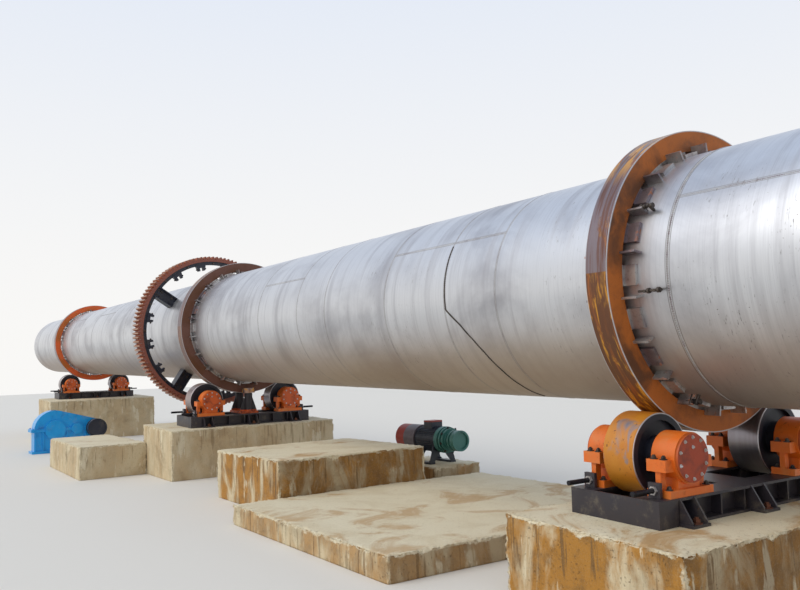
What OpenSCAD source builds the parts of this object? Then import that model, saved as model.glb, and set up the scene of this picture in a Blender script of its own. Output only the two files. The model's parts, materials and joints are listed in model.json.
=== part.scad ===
// Rotary kiln on three concrete piers: shell, riding tyres, girth gear, support rollers and its drive.
// The origin is the middle of the middle pier's underside, +X runs to the discharge end, +Z is up.

/* [Shell] */
// Outside radius of the shell
shell_r = 1100; // [1000:10:1200]
// Thickness of the shell plate
shell_plate = 25; // [16:1:40]
// Fall of the kiln towards its discharge end, in degrees
slope = 1.65; // [1:0.05:2.5]
// Height of the kiln axis over the ground at the middle pier
axis_h = 2900; // [2800:10:3200]
// Length of shell beyond each outer tyre
overhang = 6380; // [5000:10:7000]

/* [Tyres] */
// Axis position of the middle tyre, from the middle of its pier
tyre_b_x = 340; // [200:10:500]
// Distance from the middle tyre down to the discharge tyre
lower_bay = 10920; // [9500:10:12000]
// Distance from the middle tyre up to the inlet tyre
upper_bay = 14220; // [12500:10:15000]
// Radial thickness of a tyre
tyre_t = 182; // [150:2:220]
// Width of a tyre
tyre_w = 226; // [200:2:260]
// Number of pads under each tyre
pad_n = 20; // [12:2:24]
// Thickness of a tyre pad
pad_t = 50; // [40:1:70]
// Width of a tyre pad round the shell
pad_w = 168; // [120:2:180]
// Thickness of a pad beyond its tyre
pad_end_t = 30; // [20:1:38]
// Length of a pad beyond each side of its tyre
pad_reach = 115; // [90:5:140]
// Length of the stop bars beyond each side of the tyre
bar_reach = 150; // [100:5:180]
// Height of the stop bars over the pads
stop_h = 38; // [25:1:45]
// Thickness of the stop bar between two pads
bar_t = 18; // [10:1:30]

/* [Girth gear] */
// Number of teeth
gear_n = 114; // [104:2:120]
// Tooth module
gear_m = 29; // [27:0.5:30]
// Face width
gear_w = 460; // [380:10:500]
// Depth of the rim below the tooth roots
rim_t = 52; // [44:1:80]
// Distance of the gear up the kiln from the middle tyre
gear_back = 1990; // [1900:5:2300]
// Thickness of the ring that is bolted inside the rim
flange_t = 70; // [40:5:100]
// Radial depth of that ring
flange_d = 75; // [60:1:90]
// Number of lug positions round the ring
lug_n = 16; // [12:4:20]
// Number of lug positions from one spring plate to the next
plate_every = 4; // [2:2:4]
// Width of a lug where it joins the ring
lug_w = 230; // [180:5:260]
// Radial depth of a lug
lug_d = 120; // [80:5:140]
// Width of a spring plate
plate_w = 235; // [180:5:280]
// Thickness of a spring plate
plate_t = 100; // [60:5:130]

/* [Support rollers] */
// Roller radius
roller_r = 336; // [300:2:370]
// Roller width
roller_w = 308; // [280:2:340]
// Angle of each roller from straight below the kiln, in degrees
roller_angle = 30; // [28:0.5:32]
// Height of the roller axis over the pier
bearing_h = 500; // [470:5:560]
// Depth of the hollow in each roller face
roller_dish = 42; // [20:2:60]
// Radius of the roller hub
hub_r = 150; // [120:2:170]
// Radius of the roller shaft
shaft_r = 85; // [70:1:95]
// Running clearance round a shaft
shaft_gap = 0.08; // [0.05:0.01:0.1]

/* [Bearing housings] */
// Distance of each housing's middle from the roller's middle
housing_x = 330; // [320:2:350]
// Length of a housing along the shaft
housing_l = 220; // [200:5:230]
// Radius of a housing
housing_r = 200; // [180:2:210]
// Radius of the round end cap
cap_r = 188; // [160:2:200]
// Thickness of the end cap
cap_t = 22; // [12:1:35]
// Half width of the split ears
ear_y = 282; // [260:2:310]
// Height of the split ears
ear_h = 92; // [60:2:110]
// Half width of the housing foot
foot_y = 262; // [240:2:285]
// Thickness of the housing foot
foot_t = 58; // [40:2:70]

/* [Base frames] */
// Height of the frame beams
frame_h = 210; // [180:5:230]
// Width of a beam flange
flange_w = 240; // [220:5:260]
// Thickness of a beam flange
flange_plate = 22; // [14:1:30]
// Thickness of the webs, end plates and stiffeners
web_t = 18; // [10:1:25]
// Reach of the frame beyond each roller axis
frame_reach = 412; // [390:5:450]
// Length of an anchor foot beyond the beam
anchor_l = 125; // [90:5:150]
// Width of an anchor foot
anchor_w = 210; // [160:5:240]
// Radius of an adjusting screw
screw_r = 20; // [14:1:24]
// Height of an adjusting screw over the frame
screw_z = 60; // [50:1:75]
// Length of an adjusting screw beyond the frame
screw_tail = 150; // [60:5:200]
// Clearance of a screw in its bracket
screw_gap = 0.3; // [0.2:0.1:0.6]

/* [Thrust rollers] */
// Radius of a thrust roller
thrust_r = 130; // [100:2:150]
// Height of a thrust roller
thrust_h = 96; // [70:2:110]
// Clearance between the uphill thrust roller and the tyre
thrust_slack = 6; // [5:0.5:12]
// Radius of a thrust roller's pin
pin_r = 45; // [30:1:55]

/* [Piers and blocks] */
// Half width of the piers across the kiln
pier_y = 1700; // [1680:10:1900]
// Length of the middle pier's top uphill of its tyre
pier_up = 1315; // [1100:5:1500]
// Length of the middle pier's top downhill of its tyre
pier_down = 635; // [600:5:900]
// Length of the drive block along the kiln
drive_block_l = 3400; // [2600:10:3600]
// Width of the drive block
drive_block_w = 1290; // [1000:10:1500]
// Height of the drive block
drive_block_h = 640; // [400:10:900]
// Length of the block between the piers
middle_block_l = 2370; // [2000:10:2600]
// Width of that block
middle_block_w = 2400; // [2000:10:2700]
// Height of that block
middle_block_h = 740; // [500:10:800]
// Height of the low plinth
plinth_h = 250; // [150:10:300]
// Reach of the low plinth in front of the piers
plinth_out = 650; // [300:10:900]
// Length of the motor pad along the kiln
motor_pad_l = 1480; // [1400:10:1700]
// Width of the motor pad
motor_pad_w = 940; // [800:10:1100]
// Height of the motor pad
motor_pad_h = 340; // [260:10:400]

/* [Drive] */
// Length of the gearbox across the kiln
box_l = 1900; // [1800:10:2000]
// Width of the gearbox along the kiln
box_w = 520; // [440:10:600]
// Height of the gearbox split line
box_split = 620; // [560:10:660]
// Radius of the cover over the large wheel
cover_big_r = 530; // [480:10:580]
// Radius of the cover over the small wheel
cover_small_r = 250; // [220:10:300]
// Radius of the coupling on the gearbox
coupling_r = 255; // [200:5:270]
// Length of the coupling on the gearbox
box_coupling_l = 320; // [200:10:360]
// Length of the motor frame
motor_l = 580; // [520:10:660]
// Radius of the motor frame
motor_r = 215; // [190:5:235]
// Height of the motor shaft over its pad
motor_h = 387; // [350:1:420]
// Length of the fan cowl
cowl_l = 550; // [400:10:600]
// Length of the end bell
bell_l = 250; // [200:10:300]
// Length of the coupling on the motor
motor_coupling_l = 190; // [150:10:240]
// Radius of the drive shafts
drive_shaft_r = 50; // [40:1:60]

/* [Hidden] */
seat = 0.3;
bed_gap = 0.05;
turn_gap = 10;
$fn = 96;

// Stations in order: inlet, middle, discharge
tyre_x = [tyre_b_x - upper_bay, tyre_b_x, tyre_b_x + lower_bay];
shell_x = [tyre_x[0] - overhang, tyre_x[2] + overhang];
skin_r = shell_r + seat;
pad_r = skin_r + pad_t;
tyre_bore = pad_r + seat;
tyre_r = tyre_bore + tyre_t;
centre_d = tyre_r + roller_r + seat;
roller_y = centre_d * sin(roller_angle);
roller_z = -centre_d * cos(roller_angle);
pier_z = roller_z - bearing_h;
deck_z = pier_z + frame_h;
frame_y = roller_y + frame_reach;
beam_in = housing_x - flange_w / 2;
beam_out = housing_x + flange_w / 2;

// Girth seams between the shell courses, each a given distance from the tyre or gear beside it
inlet_seam_d = 1020;
upper_seam_d = 1500;
lower_seam_d = 960;
discharge_seam_d = 510;
seam_inlet = tyre_x[0] - inlet_seam_d;
seam_upper = tyre_x[1] - gear_back - upper_seam_d;
seam_lower = tyre_x[1] + lower_seam_d;
seam_discharge = tyre_x[2] + discharge_seam_d;

gear_x = tyre_x[1] - gear_back;
gear_tip = gear_m * (gear_n + 2) / 2;
gear_pitch = gear_m * gear_n / 2;
gear_root = gear_pitch - 1.25 * gear_m;
gear_bore = gear_root - rim_t;
ring_bore = gear_bore - flange_d;
ring_step = 24;
ring_x = gear_w / 2 - ring_step - flange_t;
lug_r = ring_bore - lug_d;
lug_tip_w = 0.64 * lug_w;
lug_slot = 70;
lug_root = 20;
lug_l = flange_t + 30;
lug_bolt_r = 16;
rib_t = 24;
saddle_l = 180;

shaft_end = housing_x + housing_l / 2 - cap_t - turn_gap;
hub_x = housing_x - housing_l / 2 - turn_gap;
rim_w = 62;
edge = 6;
ear_in = 20;
waist_in = 30;
waist_y = 130;
neck_d = 60;
stiffener_n = 8;
anchor_in = 330;
anchor_y = frame_y - anchor_in;
cross_y = 190;
corner_l = 225;
bracket_w = 110;
bracket_t = 30;
nut_t = screw_r;
nut_gap = 5;
bracket_y = roller_y + foot_y + nut_t + nut_gap;

pin_l = 150;
thrust_drop = 38;
thrust_z = -(tyre_r + tyre_bore) / 2 - thrust_drop;
post_top = thrust_z - thrust_h / 2 - turn_gap;
thrust_x = [tyre_w / 2 + seat + thrust_r, -tyre_w / 2 - thrust_slack - thrust_r];
thrust_post_r = 80;
thrust_plate = 40;
thrust_base_x = 340;

// Reach of each pier up and down the kiln from its tyre, and the places of the blocks beside them
pier_reach = [[915, 1485], [pier_up, pier_down], [865, 935]];
drive_block_back = 1040;
drive_block_x = tyre_x[1] - drive_block_back - drive_block_l;
middle_block_part = 0.28;
middle_block_x = tyre_x[1] + middle_block_part * lower_bay;
plinth_gap = 845;
plinth_x = middle_block_x + middle_block_l;
plinth_l = tyre_x[2] - pier_reach[2][0] - plinth_gap - plinth_x;

// Place of the gearbox from the gear and the piers
gearbox_back = 6550;
gearbox_out = 1170;
gearbox_x = gear_x - gearbox_back;
gearbox_y = -pier_y - gearbox_out;
case_in = 80;
split_t = 40;
tangent_in = 0.5;
flange_out = 50;
foot_out = 60;
boss_out = 75;
cover_y = [cover_big_r + case_in, box_l - cover_small_r - edge];
boss_y = [cover_y[0], box_l * 0.62, cover_y[1]];
boss_r = [260, 150, 95];
rib_y = [case_in + rib_t, box_l * 0.16, box_l * 0.48, box_l * 0.74, box_l - case_in - rib_t];
coupling_gap = 25;
rim_h = 30;

// Place of the motor from the uphill end and the front of its pad, and of the pad from the middle block
walk_w = 420;
motor_in = [890, 440];
motor_pad_x = middle_block_x + 500;
motor_pad_y = middle_block_w - pier_y + walk_w;
motor_x = motor_pad_x + motor_in[0];
motor_y = motor_pad_y + motor_in[1];
fin_h = 22;
fin_n = 36;
fin_t = 8;
fin_in = 45;
// Steps of the end bell: start, end and radius as parts of its length and of the motor's radius
bell_steps = [
    [0, 0.36, 1], [0.35, 0.45, 0.8], [0.44, 0.6, 0.95], [0.59, 0.7, 0.75], [0.69, 0.86, 0.88], [0.85, 1, 0.7]
];
vent_n = 12;
vent_w = 16;
terminal_l = 220;
terminal_h = 90;
motor_foot_y = 210;
motor_foot_w = 100;
motor_foot_t = 35;
plate_phase = 56.25;

// Places the children in the kiln's own sloping axes, centred on the axis over the middle pier
module on_axis(x = 0) {
    translate([0, 0, axis_h]) rotate([0, slope, 0]) translate([x, 0, 0]) children();
}

// A cylinder along X
module bar_x(r, x0, x1) {
    translate([x0, 0, 0]) rotate([0, 90, 0]) cylinder(r = r, h = x1 - x0);
}

// A cylinder along Y
module bar_y(r, y0, y1) {
    translate([0, y0, 0]) rotate([-90, 0, 0]) cylinder(r = r, h = y1 - y0);
}

module tube_x(r, bore, x0, x1) {
    difference() {
        bar_x(r, x0, x1);
        bar_x(bore, x0 - 1, x1 + 1);
    }
}

// A box given by its two corners
module box(a, b) {
    translate(a) cube(b - a);
}

// Copies the children round the kiln axis
module round_x(n, phase = 0) {
    for (i = [0 : n - 1]) rotate([phase + i * 360 / n, 0, 0]) children();
}

module shell_course(x0, x1) {
    color("silver") on_axis() tube_x(shell_r, shell_r - shell_plate, x0, x1);
}

module tyre(i) {
    tint = i == 0 ? "orangered" : "saddlebrown";
    color(tint) on_axis(tyre_x[i]) tube_x(tyre_r, tyre_bore, -tyre_w / 2, tyre_w / 2);
}

// Pads on the shell, thinner beyond the tyre, with a stop bar between each two at both sides of it
module tyre_pads(i) {
    half = tyre_w / 2 + pad_reach;
    stop_x = tyre_w / 2 + seat;
    bar_end = tyre_w / 2 + bar_reach;
    color("gainsboro") on_axis(tyre_x[i]) {
        round_x(pad_n) intersection() {
            difference() {
                union() {
                    bar_x(pad_r, -tyre_w / 2, tyre_w / 2);
                    bar_x(skin_r + pad_end_t, -half, half);
                }
                bar_x(skin_r, -half - 1, half + 1);
            }
            box([-half, -pad_w / 2, 0], [half, pad_w / 2, tyre_bore]);
        }
        round_x(pad_n, 180 / pad_n) for (s = [0, 1]) mirror([s, 0, 0]) difference() {
            box([stop_x, -bar_t / 2, shell_r - bar_t], [bar_end, bar_t / 2, pad_r + stop_h]);
            bar_x(skin_r, 0, bar_end + 1);
        }
    }
}

// Polar angle between the pitch point and a point of the involute at radius r
function involute(r) =
    let (base = gear_pitch * cos(20), a = acos(min(1, base / r)))
    (tan(a) * 180 / PI - a) - (tan(20) * 180 / PI - 20);

// Half the angle that a tooth fills at radius r
function tooth_half(r) = 90 / gear_n - involute(max(r, gear_pitch * cos(20)));

function polar(r, a) = [r * cos(a), r * sin(a)];

gear_outline = [
    for (i = [0 : gear_n - 1]) let (mid = i * 360 / gear_n)
        for (p = [
            [gear_root, -tooth_half(gear_root)], [gear_pitch, -tooth_half(gear_pitch)],
            [gear_tip, -tooth_half(gear_tip)], [gear_tip, tooth_half(gear_tip)],
            [gear_pitch, tooth_half(gear_pitch)], [gear_root, tooth_half(gear_root)]
        ]) polar(p[0], mid + p[1])
];

module girth_gear() {
    color("sienna") on_axis(gear_x - gear_w / 2) rotate([0, 90, 0]) difference() {
        linear_extrude(gear_w) polygon(gear_outline);
        translate([0, 0, -1]) cylinder(r = gear_bore, h = gear_w + 2);
    }
}

// Tapered bracket on the inside of the ring, slotted for a plate and drilled for its bolt
module ring_lug() {
    translate([ring_x, 0, 0]) difference() {
        rotate([90, 0, 90]) linear_extrude(lug_l) polygon([
            [-lug_w / 2, ring_bore + lug_root], [lug_w / 2, ring_bore + lug_root],
            [lug_tip_w / 2, lug_r], [-lug_tip_w / 2, lug_r]
        ]);
        box([-1, -lug_slot / 2, lug_r - 1], [lug_l + 1, lug_slot / 2, lug_r + 0.6 * lug_d]);
        translate([lug_l / 2, 0, lug_r + lug_d / 3]) bar_y(lug_bolt_r, -lug_w, lug_w);
    }
}

// Dark ring inside the rim, with a clevis lug at each position that has no spring plate
module gear_ring() {
    color("midnightblue") on_axis(gear_x) {
        tube_x(gear_bore, ring_bore, ring_x, ring_x + flange_t);
        for (i = [0 : lug_n - 1]) if (i % plate_every != 0)
            rotate([plate_phase + i * 360 / lug_n, 0, 0]) ring_lug();
    }
}

// Channels that carry the gear on the shell, each with two ribs on a saddle
module spring_plates() {
    front = ring_x + flange_t;
    plate_n = lug_n / plate_every;
    side = plate_w / 2;
    color("darkslategray") on_axis(gear_x) round_x(plate_n, plate_phase) difference() {
        union() {
            box([front, -side, shell_r - rib_t], [front + plate_t, side, ring_bore + flange_d / 2]);
            for (y = [-side, side - rib_t])
                box([front - saddle_l, y, shell_r - rib_t], [front + 1, y + rib_t, ring_bore - turn_gap]);
            box([front - saddle_l, -side, shell_r - rib_t], [front + 1, side, skin_r + rib_t]);
        }
        box([front + rib_t, -side + rib_t, shell_r], [front + plate_t + 1, side - rib_t, gear_tip]);
        bar_x(skin_r, -gear_w, gear_w);
    }
}

// Half outline of a roller, from the end of its shaft out to the rim
roller_half = [
    [0, shaft_end], [shaft_r, shaft_end], [shaft_r, hub_x], [hub_r, hub_x],
    [hub_r, roller_w / 2 - roller_dish], [roller_r - rim_w, roller_w / 2 - roller_dish],
    [roller_r - rim_w, roller_w / 2], [roller_r - edge, roller_w / 2], [roller_r, roller_w / 2 - edge]
];

module support_roller(i, side) {
    last = len(roller_half) - 1;
    other_half = [for (k = [0 : last]) [roller_half[last - k][0], -roller_half[last - k][1]]];
    tint = i == 2 ? "goldenrod" : "dimgray";
    color(tint) on_axis(tyre_x[i]) translate([0, side * roller_y, roller_z]) rotate([0, 90, 0])
        rotate_extrude() polygon(concat(roller_half, other_half));
}

// One housing: a drum with split ears, a waist and a foot, closed by a round cap
module bearing_housing() {
    half = housing_l / 2;
    foot_z = -bearing_h + frame_h;
    difference() {
        union() {
            bar_x(housing_r, -half, half);
            bar_x(cap_r, half - 1, half + cap_t);
            box([-half + ear_in, -ear_y, -ear_h], [half - ear_in, ear_y, 0]);
            box([-half + waist_in, -waist_y, foot_z + 1], [half - waist_in, waist_y, -housing_r / 2]);
            box([-half, -foot_y, foot_z], [half, foot_y, foot_z + foot_t]);
            for (s = [0, 1]) mirror([0, s, 0])
                box([-rib_t, foot_y - neck_d, foot_z + 1], [rib_t, foot_y, -ear_h + 1]);
        }
        bar_x(shaft_r + shaft_gap, -half - 1, half - cap_t);
    }
}

module bearing_housings(i) {
    color("darkorange") on_axis(tyre_x[i]) for (side = [-1, 1], end = [0, 1])
        translate([0, side * roller_y, roller_z]) mirror([end, 0, 0])
            translate([housing_x, 0, 0]) bearing_housing();
}

// One beam along Y with stiffeners between its flanges
module frame_beam() {
    half = flange_w / 2;
    for (z = [0, frame_h - flange_plate])
        box([-half, -frame_y, z], [half, frame_y, z + flange_plate]);
    box([-web_t / 2, -frame_y, 1], [web_t / 2, frame_y, frame_h - 1]);
    for (k = [0 : stiffener_n - 1]) {
        y = -frame_y + (k + 0.5) * 2 * frame_y / stiffener_n;
        box([-half + web_t, y - web_t / 2, 1], [half - web_t, y + web_t / 2, frame_h - 1]);
    }
}

// Two gussets on a foot plate against the outer face of a beam
module anchor_foot() {
    box([-flange_w / 2, -anchor_w / 2, 0], [anchor_l, anchor_w / 2, flange_plate]);
    for (s = [-1, 1]) translate([0, s * (anchor_w / 2 - web_t) - web_t / 2, 0]) rotate([90, 0, 0])
        translate([0, 0, -web_t]) linear_extrude(web_t) polygon([
            [-flange_w / 2, 1], [anchor_l - web_t, 1], [anchor_l - web_t, flange_plate + web_t],
            [0, frame_h - 1], [-flange_w / 2, frame_h - 1]
        ]);
}

// Bracket that holds an adjusting screw against a housing foot
module screw_bracket() {
    difference() {
        box([-bracket_w / 2, 0, -1], [bracket_w / 2, bracket_t, 2 * screw_z]);
        translate([0, 0, screw_z]) bar_y(screw_r + screw_gap, -1, bracket_t + 1);
    }
}

module base_frame(i) {
    color("dimgray") on_axis(tyre_x[i]) translate([0, 0, pier_z]) {
        for (s = [-1, 1]) translate([s * housing_x, 0, 0]) frame_beam();
        for (s = [0, 1]) mirror([0, s, 0])
            box([-beam_out, frame_y - web_t, 0], [beam_out, frame_y, frame_h]);
        for (y = [-cross_y, cross_y])
            box([-housing_x, y - web_t / 2, 1], [housing_x, y + web_t / 2, frame_h - 1]);
        box([-beam_in - 1, -cross_y, frame_h - flange_plate], [beam_in + 1, cross_y, frame_h]);
        for (sx = [0, 1], sy = [0, 1]) mirror([sx, 0, 0]) mirror([0, sy, 0])
            box([beam_out - web_t, frame_y - corner_l, 1], [beam_out, frame_y - 1, frame_h - 1]);
        for (s = [0, 1], y = [-anchor_y, 0, anchor_y]) mirror([s, 0, 0])
            translate([beam_out, y, 0]) anchor_foot();
        for (sx = [-1, 1], sy = [0, 1]) mirror([0, sy, 0])
            translate([sx * housing_x, bracket_y, frame_h]) screw_bracket();
    }
}

// Screws with a nut on each side of the bracket, pressed against the housing feet
module adjusting_screws(i) {
    color("gray") on_axis(tyre_x[i]) for (sx = [-1, 1], sy = [0, 1]) mirror([0, sy, 0])
        translate([sx * housing_x, 0, deck_z + screw_z]) {
            bar_y(screw_r, roller_y + foot_y, frame_y + screw_tail);
            for (y = [bracket_y - nut_t, bracket_y + bracket_t]) translate([0, y, 0])
                rotate([-90, 0, 0]) cylinder(r = 1.8 * screw_r, h = nut_t, $fn = 6);
        }
}

// Pedestals beside the middle tyre that carry the thrust rollers
module thrust_bracket() {
    color("chocolate") on_axis(tyre_x[1]) translate([0, 0, deck_z]) difference() {
        union() {
            box([-thrust_base_x, -cross_y + web_t, 0], [thrust_base_x, cross_y - web_t, thrust_plate]);
            for (x = thrust_x) translate([x, 0, 0]) cylinder(r = thrust_post_r, h = post_top - deck_z);
            for (x = thrust_x, s = [0, 1]) translate([x, 0, 0]) mirror([0, s, 0]) rotate([90, 0, 90])
                translate([0, 0, -rib_t / 2]) linear_extrude(rib_t) polygon([
                    [thrust_post_r / 2, 1], [cross_y - web_t, 1], [cross_y - web_t, thrust_plate + rib_t],
                    [thrust_post_r, 0.8 * (post_top - deck_z)], [thrust_post_r / 2, 0.8 * (post_top - deck_z)]
                ]);
        }
        for (x = thrust_x) translate([x, 0, post_top - deck_z - pin_l])
            cylinder(r = pin_r + shaft_gap, h = pin_l + 1);
    }
}

module thrust_roller(k) {
    color("orange") on_axis(tyre_x[1]) translate([thrust_x[k], 0, thrust_z]) {
        translate([0, 0, -thrust_h / 2]) cylinder(r = thrust_r, h = thrust_h);
        translate([0, 0, post_top - thrust_z + turn_gap - pin_l]) cylinder(r = pin_r, h = pin_l + 1);
    }
}

// Height of a pier top over the ground at x, a little below the frame on it
function pier_top(x) = axis_h - x * tan(slope) + pier_z / cos(slope) - bed_gap;

module pier(i) {
    x0 = tyre_x[i] - pier_reach[i][0];
    x1 = tyre_x[i] + pier_reach[i][1];
    color("tan") translate([0, pier_y, 0]) rotate([90, 0, 0]) linear_extrude(2 * pier_y)
        polygon([[x0, 0], [x1, 0], [x1, pier_top(x1)], [x0, pier_top(x0)]]);
}

// A block given by its uphill end, its front side and its size
module concrete_block(x, y, size) {
    color("burlywood") translate([x, y, 0]) cube(size);
}

// Half outline of the gearbox cover: two round housings joined by a straight run. Its corners sit inside
// both arcs, so it crosses them; a true tangent leaves a face of no width in the solid
module cover_outline() {
    span = cover_y[1] - cover_y[0];
    lean = acos((cover_big_r - cover_small_r) / span);
    big_in = cover_big_r - tangent_in;
    small_in = cover_small_r - tangent_in;
    intersection() {
        union() {
            translate([cover_y[0], 0]) circle(r = cover_big_r);
            translate([cover_y[1], 0]) circle(r = cover_small_r);
            polygon([
                [cover_y[0], 0], [cover_y[1], 0],
                [cover_y[1] + small_in * cos(lean), small_in * sin(lean)],
                [cover_y[0] + big_in * cos(lean), big_in * sin(lean)]
            ]);
        }
        translate([-box_l, 0]) square([3 * box_l, 2 * cover_big_r]);
    }
}

module on_gearbox() {
    translate([gearbox_x, gearbox_y, 0]) children();
}

// Profile in the YZ plane, extruded along X about its middle
module across_x(w) {
    translate([-w / 2, 0, 0]) rotate([90, 0, 90]) linear_extrude(w) children();
}

module bearing_bosses(w) {
    for (k = [0 : 2]) translate([0, boss_y[k], box_split]) bar_x(boss_r[k], -w / 2, w / 2);
}

// Flange of one gearbox half, from z0 to z1
module split_flange(z0, z1) {
    box([-box_w / 2 - flange_out, 0, z0], [box_w / 2 + flange_out, box_l, z1]);
}

module input_bore() {
    translate([0, boss_y[2], box_split]) bar_x(drive_shaft_r + shaft_gap, box_w / 4, box_w);
}

module gearbox_case() {
    color("dodgerblue") on_gearbox() difference() {
        union() {
            box([-box_w / 2, case_in, 1], [box_w / 2, box_l - case_in, box_split]);
            box([-box_w / 2 - foot_out, case_in - foot_out, 0],
                [box_w / 2 + foot_out, box_l - case_in + foot_out, foot_out]);
            split_flange(box_split - split_t, box_split);
            for (y = rib_y)
                box([-box_w / 2 - flange_out + edge, y - rib_t / 2, rib_t],
                    [box_w / 2 + flange_out - edge, y + rib_t / 2, box_split - rib_t]);
            intersection() {
                bearing_bosses(box_w + 2 * boss_out);
                box([-box_w, -box_l, 0], [box_w, 2 * box_l, box_split]);
            }
        }
        input_bore();
    }
}

module gearbox_cover() {
    color("dodgerblue") on_gearbox() difference() {
        union() {
            translate([0, 0, box_split]) across_x(box_w) cover_outline();
            split_flange(box_split, box_split + split_t);
            intersection() {
                bearing_bosses(box_w + 2 * boss_out);
                box([-box_w, -box_l, box_split], [box_w, 2 * box_l, 2 * box_split]);
            }
        }
        input_bore();
    }
}

// Coupling half: a hub and two discs with a groove between them, the front one recessed, on a shaft
module coupling_half(r, l, stub) {
    difference() {
        union() {
            bar_x(drive_shaft_r, -stub, coupling_gap + 1);
            bar_x(0.86 * r, coupling_gap, coupling_gap + l);
            bar_x(r, coupling_gap + 0.1 * l, coupling_gap + 0.3 * l);
            bar_x(r, coupling_gap + 0.5 * l, coupling_gap + l);
        }
        bar_x(r - rim_h, coupling_gap + l - rim_h, coupling_gap + l + 1);
    }
}

module gearbox_coupling() {
    color("darkslateblue") on_gearbox() translate([box_w / 2 + boss_out, boss_y[2], box_split])
        coupling_half(coupling_r, box_coupling_l, box_w / 4);
}

module on_motor() {
    translate([motor_x, motor_y, motor_pad_h]) children();
}

// One foot of the motor with its two gussets, on the +Y side
module motor_foot() {
    x0 = -motor_l / 2 + 2 * fin_in;
    x1 = motor_l / 2 - fin_in;
    inner = motor_foot_y - motor_foot_w / 2;
    outer = motor_foot_y + motor_foot_w / 2;
    box([x0, inner, 0], [x1, outer, motor_foot_t]);
    for (x = [x0 + edge, x1 - edge - rib_t])
        translate([x, 0, 0]) rotate([90, 0, 90]) linear_extrude(rib_t) polygon([
            [rib_t, motor_h - 0.8 * motor_r], [inner + edge, motor_foot_t - 1],
            [outer - edge, motor_foot_t - 1], [0.78 * motor_r, motor_h - 0.28 * motor_r]
        ]);
}

// Finned motor frame with its stepped end bell, terminal box and feet
module motor_body() {
    half = motor_l / 2;
    color("darkslategray") on_motor() difference() {
        union() {
            translate([0, 0, motor_h]) {
                bar_x(motor_r - fin_h, -half, half + 1);
                for (k = [0 : fin_n - 1]) rotate([k * 360 / fin_n, 0, 0])
                    box([fin_in - half, -fin_t / 2, motor_r - 2 * fin_h], [half + 1, fin_t / 2, motor_r - edge]);
                for (s = bell_steps) bar_x(s[2] * motor_r, half + s[0] * bell_l, half + s[1] * bell_l);
                box([-terminal_l / 2, -terminal_l / 2, motor_r - 2 * fin_h],
                    [terminal_l / 2, terminal_l / 2, motor_r + terminal_h]);
            }
            for (s = [0, 1]) mirror([0, s, 0]) motor_foot();
        }
        translate([0, 0, motor_h]) bar_x(drive_shaft_r + shaft_gap, motor_l / 4, 2 * motor_l);
    }
}

module motor_cowl() {
    color("firebrick") on_motor() translate([-motor_l / 2, 0, motor_h]) difference() {
        bar_x(motor_r + edge, -cowl_l, 0);
        round_x(vent_n)
            box([-cowl_l - 1, -vent_w / 2, 0.35 * motor_r], [-cowl_l + vent_w, vent_w / 2, 0.8 * motor_r]);
    }
}

module motor_coupling() {
    color("teal") on_motor() translate([motor_l / 2 + bell_l, 0, motor_h])
        coupling_half(motor_r * 0.77, motor_coupling_l, motor_l / 4);
}

shell_course(shell_x[0], seam_inlet);  // shell_inlet_end
shell_course(seam_inlet, seam_upper);  // shell_upper_span
shell_course(seam_upper, seam_lower);  // shell_drive_course
shell_course(seam_lower, seam_discharge);  // shell_lower_span
shell_course(seam_discharge, shell_x[1]);  // shell_discharge_end
tyre(0);  // tyre_inlet
tyre(1);  // tyre_middle
tyre(2);  // tyre_discharge
tyre_pads(0);  // tyre_pads_inlet
tyre_pads(1);  // tyre_pads_middle
tyre_pads(2);  // tyre_pads_discharge
girth_gear();
gear_ring();
spring_plates();
support_roller(0, -1);  // roller_front_inlet
support_roller(0, 1);  // roller_back_inlet
support_roller(1, -1);  // roller_front_middle
support_roller(1, 1);  // roller_back_middle
support_roller(2, -1);  // roller_front_discharge
support_roller(2, 1);  // roller_back_discharge
bearing_housings(0);  // bearing_housings_inlet
bearing_housings(1);  // bearing_housings_middle
bearing_housings(2);  // bearing_housings_discharge
base_frame(0);  // base_frame_inlet
base_frame(1);  // base_frame_middle
base_frame(2);  // base_frame_discharge
adjusting_screws(0);  // adjusting_screws_inlet
adjusting_screws(1);  // adjusting_screws_middle
adjusting_screws(2);  // adjusting_screws_discharge
thrust_bracket();
thrust_roller(0);  // thrust_roller_downhill
thrust_roller(1);  // thrust_roller_uphill
pier(0);  // pier_inlet
pier(1);  // pier_middle
pier(2);  // pier_discharge
concrete_block(drive_block_x, -pier_y - drive_block_w, [drive_block_l, drive_block_w, drive_block_h]);  // drive_block
concrete_block(middle_block_x, -pier_y, [middle_block_l, middle_block_w, middle_block_h]);  // middle_block
concrete_block(plinth_x, -pier_y - plinth_out, [plinth_l, 2 * pier_y + plinth_out, plinth_h]);  // low_plinth
concrete_block(motor_pad_x, motor_pad_y, [motor_pad_l, motor_pad_w, motor_pad_h]);  // motor_pad
gearbox_case();
gearbox_cover();
gearbox_coupling();
motor_body();
motor_cowl();
motor_coupling();
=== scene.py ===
"""Finishes, weld seams, fasteners, worn concrete and a plain studio for the rotary kiln."""

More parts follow.
